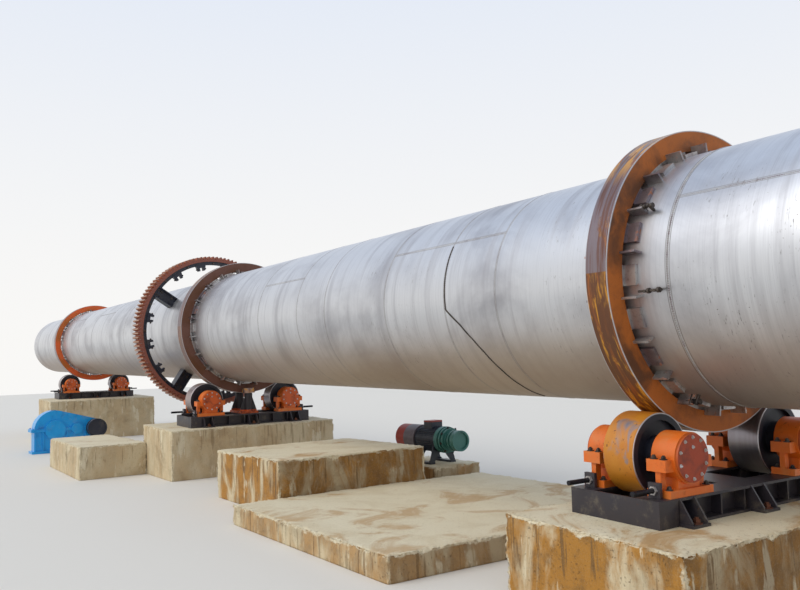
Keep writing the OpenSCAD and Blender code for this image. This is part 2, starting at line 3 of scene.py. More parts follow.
import json
import math
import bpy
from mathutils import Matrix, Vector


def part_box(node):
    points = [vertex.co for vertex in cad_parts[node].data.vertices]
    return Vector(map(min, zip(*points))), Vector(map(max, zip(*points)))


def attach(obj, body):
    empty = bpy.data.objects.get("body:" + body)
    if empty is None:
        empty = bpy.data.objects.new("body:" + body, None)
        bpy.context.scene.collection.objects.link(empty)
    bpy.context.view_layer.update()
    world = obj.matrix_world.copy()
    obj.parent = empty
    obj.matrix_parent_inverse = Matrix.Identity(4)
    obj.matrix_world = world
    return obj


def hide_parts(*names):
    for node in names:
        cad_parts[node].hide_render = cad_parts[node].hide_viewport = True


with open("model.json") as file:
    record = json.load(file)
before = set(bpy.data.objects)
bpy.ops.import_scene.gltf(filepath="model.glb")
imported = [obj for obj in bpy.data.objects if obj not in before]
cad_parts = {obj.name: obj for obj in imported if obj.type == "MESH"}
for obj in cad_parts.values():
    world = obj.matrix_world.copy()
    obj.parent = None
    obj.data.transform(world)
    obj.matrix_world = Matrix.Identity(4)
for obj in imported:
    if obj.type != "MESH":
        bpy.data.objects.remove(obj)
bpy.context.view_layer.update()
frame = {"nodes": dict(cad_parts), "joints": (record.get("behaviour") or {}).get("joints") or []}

from types import SimpleNamespace

import bmesh
import bpy
from mathutils import Matrix, Vector, noise

bl_info = {
    "name": "Rotary Kiln Finishes",
    "version": (1, 0, 0),
    "blender": (4, 5, 0),
    "location": "3D View > Sidebar > Kiln",
    "description": "Dresses the rotary kiln: metal, paint, welds, bolts, concrete and studio",
    "category": "Object",
}

STATIONS = ("inlet", "middle", "discharge")
JOINTS = {j["name"]: j for j in frame["joints"]}
NODES = frame["nodes"]

# The kiln's own axes: X down its slope, Y across, Z away from its underside
AXIS_POINT = Vector(JOINTS["drum_spin"]["pos_m"])
AXIS_X = Vector(JOINTS["drum_spin"]["axis"]).normalized()
AXIS_Y = Vector((0, 1, 0))
AXIS_Z = AXIS_X.cross(AXIS_Y).normalized()
SLOPE = math.asin(-AXIS_X.z)
KILN = Matrix.Translation(AXIS_POINT) @ Matrix((AXIS_X, AXIS_Y, AXIS_Z)).transposed().to_4x4()
KILN_INV = KILN.inverted()


def local_box(node):
    """Lowest and highest corner of a node in the kiln's own axes."""
    points = [KILN_INV @ v.co for v in NODES[node].data.vertices]
    low = Vector(min(p[k] for p in points) for k in range(3))
    high = Vector(max(p[k] for p in points) for k in range(3))
    return low, high


def middle(box):
    """Middle of a box given by its two corners."""
    return (box[0] + box[1]) / 2


# Handling marks on the shell: distance down from the discharge tyre, angle round the shell and reach
SMEARS = ((1.02, 150.0, 0.40), (0.79, 187.0, 0.34), (1.05, 200.0, 0.46), (1.60, 172.0, 0.42), (-3.87, 153.6, 0.36))
TYRE_BOX = {s: local_box("tyre_" + s) for s in STATIONS}
TYRE_X = {s: middle(TYRE_BOX[s]).x for s in STATIONS}
TYRE_R = TYRE_BOX["middle"][1].z
TYRE_HALF = (TYRE_BOX["middle"][1].x - TYRE_BOX["middle"][0].x) / 2
SHELL_R = local_box("shell_lower_span")[1].z
ROLLER_AT = {
    (side, s): KILN_INV @ Vector(JOINTS[f"roller_{side}_{s}_spin"]["pos_m"])
    for side in ("front", "back") for s in STATIONS
}
ROLLER_BOX = local_box("roller_front_discharge")
ROLLER_R = (ROLLER_BOX[1].y - ROLLER_BOX[0].y) / 2
ROLLER_HALF = 0.154
PAD_BOX = local_box("tyre_pads_discharge")
PAD_END = (PAD_BOX[1].x - PAD_BOX[0].x) / 2 - 0.035
GEAR_BOX = local_box("girth_gear")
GEAR_X = middle(GEAR_BOX).x
GEAR_HALF = (GEAR_BOX[1].x - GEAR_BOX[0].x) / 2
GEAR_R = GEAR_BOX[1].z
RING_T, RING_BOLT_R = 0.070, 1.527
LUG_STEP, LUG_PHASE, LUG_CLEAR, LUG_BOLT_R, LUG_BOLT_OUT = 22.5, 56.25, 6.0, 1.410, 0.086
BELL_L = 0.250
HOUSING_END, HOUSING_R, CAP_R = 0.440, 0.200, 0.188
FRAME_BOX = {s: local_box("base_frame_" + s) for s in STATIONS}
SCREW_BOX = local_box("adjusting_screws_discharge")
SCREW_X, SCREW_R = 0.330, 0.020

# Grain of a finish: coarse and fine scale, balance of the two, strength and depth of the bump
SHELL_GRAIN = (1.2, 40.0, 0.5, 0.10, 0.004)
STEEL_GRAIN = (14.0, 180.0, 0.5, 0.25, 0.003)
PAD_GRAIN = (14.0, 160.0, 0.5, 0.25, 0.003)
TREAD_GRAIN = (18.0, 120.0, 0.5, 0.30, 0.004)
ROLLER_GRAIN = (20.0, 140.0, 0.5, 0.25, 0.003)
HOUSING_GRAIN = (30.0, 220.0, 0.4, 0.30, 0.003)
ENAMEL_GRAIN = (24.0, 200.0, 0.4, 0.25, 0.003)
MOTOR_GRAIN = (24.0, 200.0, 0.4, 0.30, 0.003)

# Kinds of the node groups' sockets; any other name holds a plain value
SOCKET_KINDS = {"Vector": "Vector", "First": "Color", "Second": "Color", "Color": "Color", "Material": "Material",
                "Geometry": "Geometry"}

# Seams: distances from the discharge tyre down and up the kiln; the first and the step above the middle tyre, and
# one below it; the oblique seam's distances up the kiln and its angles
NEAR_SEAM, DOWN_SEAMS, UP_SEAMS = 0.51, (2.41, 4.31), (1.54, 2.39, 3.61, 5.18, 6.06, 7.51)
TOP_SEAM, TOP_STEP, GEAR_SEAM = 3.49, 1.95, 0.96
OBLIQUE_BEAD = 0.030
OBLIQUE_SEAM = ((2.39, 150), (2.38, 172), (2.37, 187), (2.17, 196), (2.03, 205), (1.94, 213), (1.85, 226),
                (1.80, 240), (1.78, 256))

# Pad clamps: distance from the discharge tyre, angle and length; radii of rod, stud and nut; height of the rod over
# the shell; places of the studs along the rod, their lower and upper ends, and the ends of a nut from its stud
CLAMPS = ((0.19, 152.0, 0.15), (0.27, 187.0, 0.21), (0.19, 243.0, 0.13))
CLAMP_ROD, CLAMP_STUD, CLAMP_NUT, CLAMP_OVER = 0.010, 0.013, 0.022, 0.060
CLAMP_STUDS, STUD_SUNK, STUD_OVER, NUT_ENDS = (0.35, 0.80), 0.006, 0.026, (0.016, 0.036)

# Bolts of the gear: how many on the ring, and the places on its lugs and the spring plates
RING_BOLTS, LUGS, LUG_BOLT_IN, PLATE_FLANGE, PLATE_BOLT_OUT = 64, 16, 0.020, 0.076, 0.055
PLATE_BOLT_R = (RING_BOLT_R - 0.020, RING_BOLT_R - 0.085, 1.190)

# Bolts of a bearing, from its roller's middle; those of the ears and feet lie along, across and down from it
CAP_FACE, CAP_BOLT_RING, CAP_BOLTS, CAP_PLUG, HOUSING_MID = 0.462, 0.160, 10, 0.085, 0.330
EAR_BOLTS, FOOT_BOLTS = (0.045, 0.245, 0), (0.070, 0.225, 0.232)
ANCHOR_IN_X, ANCHOR_IN_Y, FRAME_PLATE = 0.050, 0.330, 0.022

# Worn concrete: where the mesh is finer, how far chips and crumbs reach from an edge, how dense they are, and how
# far the bare look reaches, where nothing is bitten off and more for a bite
FINER_NEAR_EDGE, CHIP_REACH, CRUMB_REACH, CRUMB_DEPTH = (0.125, 0.080), 0.030, 0.060, 0.016
BITE_LEVEL, BITE_GAIN, BITE_DENSITY, CRUMB_DENSITY, CRUMB_SHIFT = 0.30, 1.3, 7.0, 30.0, Vector((3, 7, 1))
WEAR_REACH, WEAR_BITE = 0.028, 0.03

# Gearbox and motor: flange bolts, breather, bell bolts, foot bolts, the red part of the cowl and the box's lid
FLANGE_BOLT_IN, FLANGE_BOLTS, FLANGE_T, FLANGE_BOLT, BREATHER_Y, BREATHER_R = 0.050, 11, 0.040, 0.018, 0.610, 0.060
BELL_BOLT_BACK, BELL_BOLT_RING, BELL_BOLTS, MOTOR_BOLT = 0.075, 0.200, 8, 0.014
MOTOR_FEET, MOTOR_FOOT_IN, MOTOR_FOOT_T, COWL_RED, LID_T = (0.150, 0.480), 0.030, 0.035, 0.240, 0.025

# Camera fitted to the photo (degrees and millimetres), floor and light
CAMERA_AT, CAMERA_TURN, CAMERA_LENS, CAMERA_SENSOR = (15.616, -6.060, 1.883), (56.898, 5.52, -2.245), 35.1, 36.0
FLOOR_HALF, FLOOR_DROP, WORLD_LIGHT, SUN_LIGHT, SUN_WIDTH = 160.0, 0.002, 0.80, 1.45, 50
SKY_LOW, SKY_HIGH, SUN_COLOUR = (0.95, 0.94, 0.92, 1), (0.62, 0.73, 0.93, 1), (1.0, 0.95, 0.86)
SUN_WAY = Vector((0.12, 0.74, -0.72))


def srgb(red, green, blue):
    """Linear colour of an 8-bit display colour."""
    def linear(c):
        c /= 255
        return c / 12.92 if c <= 0.04045 else ((c + 0.055) / 1.055) ** 2.4
    return (linear(red), linear(green), linear(blue))


def colour(name, about, red, green, blue):
    """A colour property with its default."""
    return bpy.props.FloatVectorProperty(
        name=name, description=about, subtype="COLOR", size=3, min=0, max=1,
        default=srgb(red, green, blue))


def length(name, about, metres):
    """A length property with its default, in metres."""
    return bpy.props.FloatProperty(
        name=name, description=about, default=metres, min=0, subtype="DISTANCE", unit="LENGTH")


class KilnColours(bpy.types.PropertyGroup):
    """Colours of the kiln's finishes."""

    shell: colour("Shell", "Bright rolled plate", 210, 211, 214)
    shell_dark: colour("Shell streaks", "Darker bands in the plate", 158, 157, 162)
    # Painted reflection: a warm, darker tone for the shell's underside that stands in for the ground mirrored there
    grime_and_ground_reflection: colour("Grime", "Warm dust on the underside", 166, 146, 128)
    scuff: colour("Scuffs", "Dark handling marks", 92, 84, 78)
    weld: colour("Welds", "Weld metal", 168, 166, 164)
    pad: colour("Pads", "Bare pad steel", 188, 185, 182)
    rust: colour("Rust", "Orange rust on the tyre sides", 182, 100, 32)
    rust_dark: colour("Dark rust", "Brown rust", 98, 58, 30)
    rust_face: colour("Rust brown", "Brown side of the middle tyre", 112, 74, 60)
    tread: colour("Tread", "Rolled steel of treads", 132, 120, 124)
    grease: colour("Grease", "Golden grease", 206, 144, 38)
    tyre_paint: colour("Tyre paint", "Orange paint of the inlet tyre", 226, 98, 40)
    gear: colour("Gear", "Red-brown primer of the gear", 142, 82, 66)
    gear_tip: colour("Tooth tips", "Rubbed tips of the teeth", 168, 134, 112)
    gear_flank: colour("Tooth flanks", "Rust between the teeth", 176, 92, 50)
    dark_paint: colour("Dark paint", "Dark blue-black paint", 34, 38, 52)
    black: colour("Black", "Oiled black steel", 26, 24, 28)
    housing: colour("Housings", "Orange enamel", 222, 108, 28)
    # Also the painted highlight round each bearing cap's rim
    housing_worn_and_highlight: colour("Worn housing", "Rubbed orange enamel", 212, 122, 58)
    # Partly painted shade: the red-orange of the discharge caps is darkened to their shaded tone
    cap: colour("Bearing caps", "Red-orange enamel of the caps", 168, 60, 16)
    cap_plain: colour("Lighter caps", "Orange enamel of the middle and inlet caps", 206, 90, 30)
    cap_dark: colour("Cap dirt", "Dark patches on the caps", 118, 44, 20)
    frame: colour("Frames", "Dark primer of the frames", 52, 47, 52)
    bolt: colour("Bolts", "Plated bolts", 190, 184, 180)
    concrete: colour("Concrete", "Pale concrete", 224, 213, 184)
    concrete_side: colour("Cast side", "Formed concrete of the sides", 212, 197, 164)
    concrete_dark: colour("Old concrete", "Weathered concrete", 172, 157, 128)
    stain: colour("Stain", "Ochre stain on concrete", 172, 120, 42)
    # Also the painted shade on concrete faces that look along +X
    damp_stain_and_shade: colour("Damp", "Dark stain on concrete", 106, 78, 42)
    blue: colour("Gearbox", "Bright blue enamel", 18, 158, 226)
    blue_dark: colour("Gearbox shade", "Deeper blue where the enamel is worn", 12, 112, 184)
    motor: colour("Motor", "Dark blue-grey enamel", 40, 48, 60)
    teal: colour("Bell", "Teal enamel", 62, 118, 110)
    cowl: colour("Cowl", "Faded red enamel", 150, 52, 40)
    floor: colour("Floor", "Pale studio floor", 226, 221, 211)


class KilnSizes(bpy.types.PropertyGroup):
    """Sizes of the added pieces."""

    bead: length("Weld bead", "Width of a weld bead", 0.018)
    near_bead: length("Wide bead", "Width of the seam beside the discharge tyre", 0.026)
    cap_bolt: length("Cap bolt", "Radius of a bearing cap bolt head", 0.010)
    ear_bolt: length("Ear bolt", "Radius of a split ear bolt head", 0.020)
    anchor_bolt: length("Anchor bolt", "Radius of an anchor nut", 0.030)
    ring_bolt: length("Ring bolt", "Radius of a gear ring bolt head", 0.020)
    chip: length("Chipped edge", "Depth of chips along concrete edges", 0.030)
    cell: length("Concrete cell", "Mesh cell on the concrete", 0.056)


def finish_colours():
    """The colour settings of the scene, with full alpha."""
    kept = bpy.context.scene.kiln_colours
    return SimpleNamespace(**{name: (*getattr(kept, name), 1) for name in KilnColours.__annotations__})


def finish_sizes():
    """The size settings of the scene."""
    return bpy.context.scene.kiln_sizes


class Nodes:
    """A small helper that adds nodes to a tree and links them."""

    def __init__(self, tree):
        self.tree = tree

    def node(self, kind, **settings):
        """Adds a node with its properties set."""
        made = self.tree.nodes.new(kind)
        for key, value in settings.items():
            setattr(made, key, value)
        return made

    def put(self, node, **values):
        """Sets inputs by name, linking sockets and storing plain values."""
        for key, value in values.items():
            self.set(node, key.replace("_", " "), value)
        return node

    def set(self, node, key, value):
        """Sets one input by name or index."""
        target = node.inputs[key]
        if isinstance(value, bpy.types.NodeSocket):
            self.tree.links.new(value, target)
        else:
            target.default_value = value

    def math(self, operation, first, second=0.0):
        """A math node's output."""
        made = self.node("ShaderNodeMath", operation=operation)
        self.set(made, 0, first)
        self.set(made, 1, second)
        return made.outputs[0]

    def times(self, first, second):
        """The product of two values."""
        return self.math("MULTIPLY", first, second)


class Shader(Nodes):
    """A helper for the nodes of materials and shader groups."""

    def plus(self, first, second):
        """The sum of two values."""
        return self.math("ADD", first, second)

    def minus(self, first, second):
        """The first value less the second."""
        return self.math("SUBTRACT", first, second)

    def most(self, first, second):
        """The greater of two values."""
        return self.math("MAXIMUM", first, second)

    def size(self, value):
        """A value without its sign."""
        return self.math("ABSOLUTE", value)

    def band(self, value, low, high):
        """0 below low, 1 above high, smooth between."""
        made = self.node("ShaderNodeMapRange", interpolation_type="SMOOTHSTEP")
        self.put(made, Value=value)
        self.set(made, "From Min", low)
        self.set(made, "From Max", high)
        return made.outputs[0]

    def mix(self, mask, first, second):
        """A colour mix by a mask."""
        made = self.node("ShaderNodeMix", data_type="RGBA")
        self.set(made, 0, mask)
        self.set(made, 6, first)
        self.set(made, 7, second)
        return made.outputs[2]

    def blend(self, mask, first, second):
        """A value mix by a mask."""
        made = self.node("ShaderNodeMix", data_type="FLOAT")
        self.set(made, 0, mask)
        self.set(made, 2, first)
        self.set(made, 3, second)
        return made.outputs[0]

    def scaled(self, vector, scale):
        """A vector multiplied part by part."""
        made = self.node("ShaderNodeVectorMath", operation="MULTIPLY")
        self.set(made, 0, vector)
        self.set(made, 1, scale)
        return made.outputs[0]

    def noise(self, vector, scale, detail=4.0, rough=0.55, distortion=0.0):
        """A noise texture's value."""
        made = self.node("ShaderNodeTexNoise")
        self.put(made, Vector=vector, Scale=scale, Detail=detail, Roughness=rough, Distortion=distortion)
        return made.outputs[0]

    def split(self, vector):
        """The three parts of a vector."""
        made = self.node("ShaderNodeSeparateXYZ")
        self.set(made, 0, vector)
        return made.outputs

    def group(self, tree, **values):
        """A shared node group, placed with its own values."""
        made = self.node("ShaderNodeGroup", node_tree=tree)
        return self.put(made, **values)

    def mottle(self, vector, first, second, scale, low, high):
        """Two colours mixed by clouds; returns the colour and the mask."""
        made = self.group(group_mottle(), Vector=vector, First=first, Second=second, Scale=scale, Low=low, High=high)
        return made.outputs["Color"], made.outputs["Mask"]

    def scuff(self, vector, scale, amount):
        """Mask of short scattered marks."""
        return self.group(group_scuff(), Vector=vector, Scale=scale, Amount=amount).outputs["Mask"]

    def hypotenuse(self, first, second):
        """Length of two parts that stand square to each other."""
        return self.math("SQRT", self.plus(self.times(first, first), self.times(second, second)))

    def bump(self, height, strength, distance):
        """Links a bump to the material's shader; returns the material."""
        made = self.node("ShaderNodeBump")
        self.put(made, Height=height, Strength=strength, Distance=distance)
        self.set(self.shader, "Normal", made.outputs[0])
        return self.made

    def surface(self, base, rough, metal, vector, grain):
        """Sets colour, roughness, metal and a bump of two sizes of grain; returns the material."""
        self.put(self.shader, Base_Color=base, Roughness=rough, Metallic=metal)
        coarse, fine, balance, strength, distance = grain
        made = self.group(group_grain(), Vector=vector, Coarse=coarse, Fine=fine, Balance=balance)
        return self.bump(made.outputs["Height"], strength, distance)


def add_sockets(tree, side, sockets):
    """Named sockets of a node group with their defaults; where no kind is given for a name it holds a value."""
    for label, default in sockets.items():
        kind = "NodeSocket" + SOCKET_KINDS.get(label, "Float")
        made = tree.interface.new_socket(name=label, in_out=side, socket_type=kind)
        if default is not None:
            made.default_value = default


def new_group(name, *outputs, **inputs):
    """An empty shader node group with named sockets; returns its helper, inputs and end."""
    tree = bpy.data.node_groups.new(name, "ShaderNodeTree")
    add_sockets(tree, "INPUT", inputs)
    add_sockets(tree, "OUTPUT", dict.fromkeys(outputs))
    helper = Shader(tree)
    return helper, helper.node("NodeGroupInput").outputs, helper.node("NodeGroupOutput")


def built_once(name):
    """Marks a function that builds a shared node group, so that the group is built once."""
    def mark(build):
        return lambda: bpy.data.node_groups.get(name) or build(name)
    return mark


@built_once("Mottle")
def group_mottle(name):
    """Two colours mixed by cloudy noise, with a mask."""
    g, given, end = new_group(name, "Color", "Mask", Vector=None, First=(1, 1, 1, 1), Second=(0, 0, 0, 1),
                              Scale=5.0, Low=0.4, High=0.6)
    cloud = g.noise(given["Vector"], given["Scale"], 7.0, 0.6, 0.4)
    mask = g.band(cloud, given["Low"], given["High"])
    g.set(end, "Color", g.mix(mask, given["First"], given["Second"]))
    g.set(end, "Mask", mask)
    return g.tree


@built_once("Grain")
def group_grain(name):
    """Fine height from two sizes of noise, for a bump."""
    g, given, end = new_group(name, "Height", Vector=None, Coarse=20.0, Fine=150.0, Balance=0.5)
    coarse = g.noise(given["Vector"], given["Coarse"], 3.0)
    fine = g.noise(given["Vector"], given["Fine"], 2.0)
    g.set(end, "Height", g.blend(given["Balance"], coarse, fine))
    return g.tree


@built_once("Scuff")
def group_scuff(name):
    """Mask of short scattered marks."""
    g, given, end = new_group(name, "Mask", Vector=None, Scale=6.0, Amount=0.5)
    marks = g.noise(given["Vector"], given["Scale"], 9.0, 0.72, 1.2)
    where = g.noise(given["Vector"], g.times(given["Scale"], 0.13), 2.0)
    low = g.minus(0.78, g.times(given["Amount"], 0.22))
    mask = g.band(marks, low, g.plus(low, 0.06))
    g.set(end, "Mask", g.times(mask, g.band(where, 0.42, 0.62)))
    return g.tree


@built_once("Streaks")
def group_streaks(name):
    """Mask of stains that run down from a surface's top."""
    g, given, end = new_group(name, "Mask", Vector=None, Width=3.0, Low=0.5, High=0.7)
    squeezed = g.scaled(given["Vector"], (1.0, 1.0, 0.07))
    runs = g.noise(squeezed, given["Width"], 6.0, 0.62, 0.25)
    g.set(end, "Mask", g.band(runs, given["Low"], given["High"]))
    return g.tree


@built_once("Ring Seam")
def group_ring_seam(name):
    """Mask of the two toe lines of a girth seam at one place along the kiln."""
    g, given, end = new_group(name, "Mask", Vector=None, At=0.0, Half=0.015)
    away = g.size(g.minus(g.split(given["Vector"])[0], given["At"]))
    g.set(end, "Mask", g.band(g.size(g.minus(away, given["Half"])), 0.006, 0.002))
    return g.tree


@built_once("Long Seam")
def group_long_seam(name):
    """Mask of the two toe lines of a seam along the kiln, at an angle round the shell."""
    g, given, end = new_group(name, "Mask", Vector=None, Start=0.0, End=1.0, Angle=0.0, Half=0.012)
    x, y, z = g.split(given["Vector"])
    cosine, sine = g.math("COSINE", given["Angle"]), g.math("SINE", given["Angle"])
    along = g.minus(g.times(z, cosine), g.times(y, sine))
    out = g.plus(g.times(y, cosine), g.times(z, sine))
    away = g.minus(g.size(along), given["Half"])
    line = g.band(g.size(away), 0.006, 0.002)
    inside = g.times(g.math("GREATER_THAN", x, given["Start"]), g.math("LESS_THAN", x, given["End"]))
    g.set(end, "Mask", g.times(line, g.times(inside, g.math("GREATER_THAN", out, 0.5))))
    return g.tree


def new_material(name):
    """A material with one Principled shader; returns its helper and the scene's colours."""
    made = bpy.data.materials.new(name)
    made.use_nodes = True
    s = Shader(made.node_tree)
    s.made = made
    s.shader = made.node_tree.nodes["Principled BSDF"]
    s.coords = s.node("ShaderNodeTexCoord").outputs["Object"]
    return s, finish_colours()


def kiln_coords(s, station=None):
    """Object coordinates turned into the kiln's own axes, about a tyre where a station is named."""
    place = KILN @ Vector((TYRE_X[station] if station else 0, 0, 0))
    made = s.node("ShaderNodeMapping", vector_type="TEXTURE")
    s.put(made, Vector=s.coords, Location=tuple(place), Rotation=(0, SLOPE, 0))
    return made.outputs[0]


def near_spot(s, place, spot, reach):
    """1 at a point of the kiln, falling to 0 at a distance from it."""
    made = s.node("ShaderNodeVectorMath", operation="DISTANCE")
    s.set(made, 0, place)
    s.set(made, 1, tuple(spot))
    return s.band(made.outputs["Value"], reach, reach * 0.3)


def mesh_value(s, name):
    """A value that the mesh carries."""
    return s.node("ShaderNodeAttribute", attribute_name=name).outputs["Fac"]


def across_radius(s, vector):
    """Distance of a point from the X axis of its coordinates."""
    _, y, z = s.split(vector)
    return s.hypotenuse(y, z)


def shell_material():
    """Bright rolled plate with faint bands round the drum, seam lines, smudges and short drips, and a painted
    reflection of warm ground on its underside.
    """
    s, tint = new_material("bright_shell_plate")
    place = kiln_coords(s)
    rings = s.noise(s.scaled(place, (7.0, 0.5, 0.5)), 1.0, 5.0, 0.6)
    fine_rings = s.noise(s.scaled(place, (90.0, 1.6, 1.6)), 1.0, 2.0, 0.6)
    clouds, _ = s.mottle(place, tint.shell, tint.shell_dark, 0.9, 0.42, 0.80)
    banded = s.mix(s.times(s.band(rings, 0.48, 0.70), 0.45), clouds, tint.shell_dark)
    brushed = s.mix(s.times(s.band(fine_rings, 0.45, 0.75), 0.22), banded, tint.shell_dark)
    # Painted reflection: the underside takes the warm, darker tone of the ground it would mirror
    under = s.times(s.band(s.split(place)[2], -0.10, -0.90), 0.75)
    ground_reflected = s.mix(under, brushed, tint.grime_and_ground_reflection)
    where = s.times(s.band(s.noise(place, 0.8, 3.0), 0.50, 0.62), 0.6)
    for away, degrees, reach in SMEARS:
        spot = on_shell(TYRE_X["discharge"] + away, degrees, SHELL_R)
        where = s.most(where, near_spot(s, place, spot, reach))
    drips = s.band(s.noise(s.scaled(place, (52.0, 11.0, 11.0)), 1.0, 3.0, 0.62), 0.62, 0.72)
    specks = s.band(s.noise(place, 42.0, 2.0), 0.70, 0.76)
    scrapes = s.scuff(s.scaled(place, (1.6, 1.0, 1.0)), 3.2, 0.40)
    marks = s.times(where, s.most(drips, specks))
    dirty = s.times(s.most(marks, scrapes), 0.75)
    lines = 0.0
    for k, (x, half) in enumerate(girth_seams()):
        seam = s.group(group_ring_seam(), Vector=place, At=x, Half=half)
        shown = s.times(seam.outputs["Mask"], 0.35 if k else 0.60)
        lines = s.most(shown, lines)
    for start, stop, degrees in long_seams():
        turn = math.radians(degrees)
        seam = s.group(group_long_seam(), Vector=place, Start=start, End=stop, Angle=turn, Half=0.014)
        lines = s.most(s.times(seam.outputs["Mask"], 0.45), lines)
    marked = s.most(dirty, lines)
    polish = s.plus(s.blend(fine_rings, 0.28, 0.40), s.times(s.band(rings, 0.40, 0.70), 0.08))
    rough = s.blend(marked, s.blend(under, polish, 0.55), 0.7)
    metal = s.blend(marked, s.blend(under, 0.90, 0.60), 0.3)
    return s.surface(s.mix(marked, ground_reflected, tint.scuff), rough, metal, s.scaled(place, (4.0, 1.0, 1.0)), SHELL_GRAIN)


def bare_steel_material(name, first, second, rough):
    """Bare steel with mottled tarnish."""
    s, _ = new_material(name)
    base, mask = s.mottle(s.coords, first, second, 9.0, 0.42, 0.70)
    return s.surface(base, s.blend(mask, rough, rough + 0.25), s.blend(mask, 0.85, 0.45), s.coords, STEEL_GRAIN)


def pad_material(station):
    """Bare pads, brighter here and duller there, with rusty ends."""
    s, tint = new_material("pad_steel_" + station)
    place = kiln_coords(s, station)
    tone = s.mix(s.band(s.noise(place, 2.6, 2.0), 0.40, 0.62), tint.pad, tint.tread)
    dull = s.mix(s.times(s.band(s.noise(place, 26.0, 6.0, 0.7), 0.50, 0.68), 0.5), tone, tint.scuff)
    end = s.band(s.size(s.split(place)[0]), PAD_END - 0.030, PAD_END - 0.008)
    rusty = s.times(end, s.band(s.noise(place, 7.0, 5.0, 0.65), 0.56, 0.64))
    base = s.mix(s.times(rusty, 0.7), dull, tint.rust)
    rough_now = s.blend(rusty, 0.36, 0.75)
    metal = s.blend(rusty, 0.75, 0.1)
    return s.surface(base, rough_now, metal, s.coords, PAD_GRAIN)


def tyre_material(name, station, side_first, side_second, greasy):
    """Rusted or painted sides and a rolled tread that is greasy below the kiln's axis, with bright rims."""
    s, tint = new_material(name)
    place = kiln_coords(s, station)
    x, _, z = s.split(place)
    radius = across_radius(s, place)
    side, _ = s.mottle(place, side_first, side_second, 2.1, 0.40, 0.68)
    speckle = s.band(s.noise(place, 46.0, 4.0, 0.7), 0.58, 0.72)
    worn_side = s.mix(s.times(speckle, 0.5), side, tint.rust_dark)
    worn = s.band(s.noise(s.scaled(place, (22.0, 1.0, 1.0)), 1.0, 5.0, 0.65), 0.42, 0.66)
    steel = s.mix(worn, tint.tread, tint.rust_face)
    runs = s.noise(s.scaled(place, (17.0, 1.3, 1.3)), 1.0, 7.0, 0.62, 0.4)
    blobs = s.noise(s.scaled(place, (9.0, 2.2, 2.2)), 1.6, 6.0, 0.6, 0.6)
    brown = s.mix(s.band(runs, 0.46, 0.74), tint.rust_dark, tint.rust)
    thick = s.times(s.band(blobs, 0.47, 0.58), s.band(runs, 0.40, 0.52))
    golden = s.mix(thick, brown, tint.grease)
    low_part = s.band(z, 0.034, 0.026)
    smears = s.band(s.noise(s.scaled(place, (3.0, 1.2, 1.2)), 1.8, 7.0, 0.62, 0.8), 0.60, 0.70)
    top_part = s.times(s.band(z, 0.70, 1.05), s.band(runs, 0.40, 0.50))
    grease = s.times(s.most(low_part, s.most(top_part, smears)), greasy)
    band = s.mix(grease, steel, golden)
    tread_mask = s.band(radius, TYRE_R - 0.010, TYRE_R - 0.003)
    corner = s.band(s.size(x), TYRE_HALF - 0.007, TYRE_HALF - 0.003)
    rim = s.band(radius, TYRE_R - 0.012, TYRE_R - 0.005)
    bright_rim = s.times(rim, s.most(s.minus(1.0, tread_mask), corner))
    colour_now = s.mix(tread_mask, worn_side, band)
    base = s.mix(s.times(bright_rim, 0.75), colour_now, tint.shell)
    rough_now = s.blend(tread_mask, 0.66, s.blend(grease, 0.32, 0.40))
    metal = s.times(tread_mask, s.blend(grease, 0.80, 0.15))
    return s.surface(base, rough_now, metal, place, TREAD_GRAIN)


def roller_radius(s, place, station):
    """Distance from the axis of the nearer support roller of a station."""
    _, y, z = s.split(place)
    across = s.minus(s.size(y), abs(ROLLER_AT["front", station].y))
    up = s.minus(z, ROLLER_AT["front", station].z)
    return s.hypotenuse(across, up)


def roller_material(station, greasy):
    """A rolled tread, dark dished faces and a bright rim, for both rollers of a station."""
    s, tint = new_material("roller_" + station)
    place = kiln_coords(s, station)
    radius = roller_radius(s, place, station)
    tread_mask = s.band(radius, ROLLER_R - 0.010, ROLLER_R - 0.004)
    corner = s.band(s.size(s.split(place)[0]), ROLLER_HALF - 0.005, ROLLER_HALF - 0.001)
    rim = s.times(s.band(radius, ROLLER_R - 0.016, ROLLER_R - 0.008), corner)
    steel = s.mix(s.noise(s.scaled(place, (24.0, 2.0, 2.0)), 1.0, 4.0), tint.tread, tint.shell_dark)
    smear = s.noise(s.scaled(place, (1.2, 1.0, 1.0)), 3.1, 5.0, 0.55, 0.6)
    front = s.band(s.split(place)[1], 0.1, -0.1)
    grease = s.times(s.band(smear, 0.34, 0.44), s.times(front, greasy))
    dots = s.times(s.band(s.noise(place, 30.0, 3.0, 0.6), 0.62, 0.70), 0.8)
    golden = s.mix(s.noise(place, 5.0, 4.0), tint.grease, tint.rust)
    band = s.mix(grease, steel, s.mix(dots, golden, tint.rust_dark))
    face = s.mix(s.noise(place, 12.0, 5.0), tint.black, tint.dark_paint)
    shown = s.mix(tread_mask, face, band)
    metal = s.most(s.times(tread_mask, s.blend(grease, 0.80, 0.15)), rim)
    base = s.mix(rim, shown, tint.shell)
    rough_now = s.blend(tread_mask, 0.5, s.blend(grease, 0.28, 0.42))
    return s.surface(base, rough_now, metal, place, ROLLER_GRAIN)


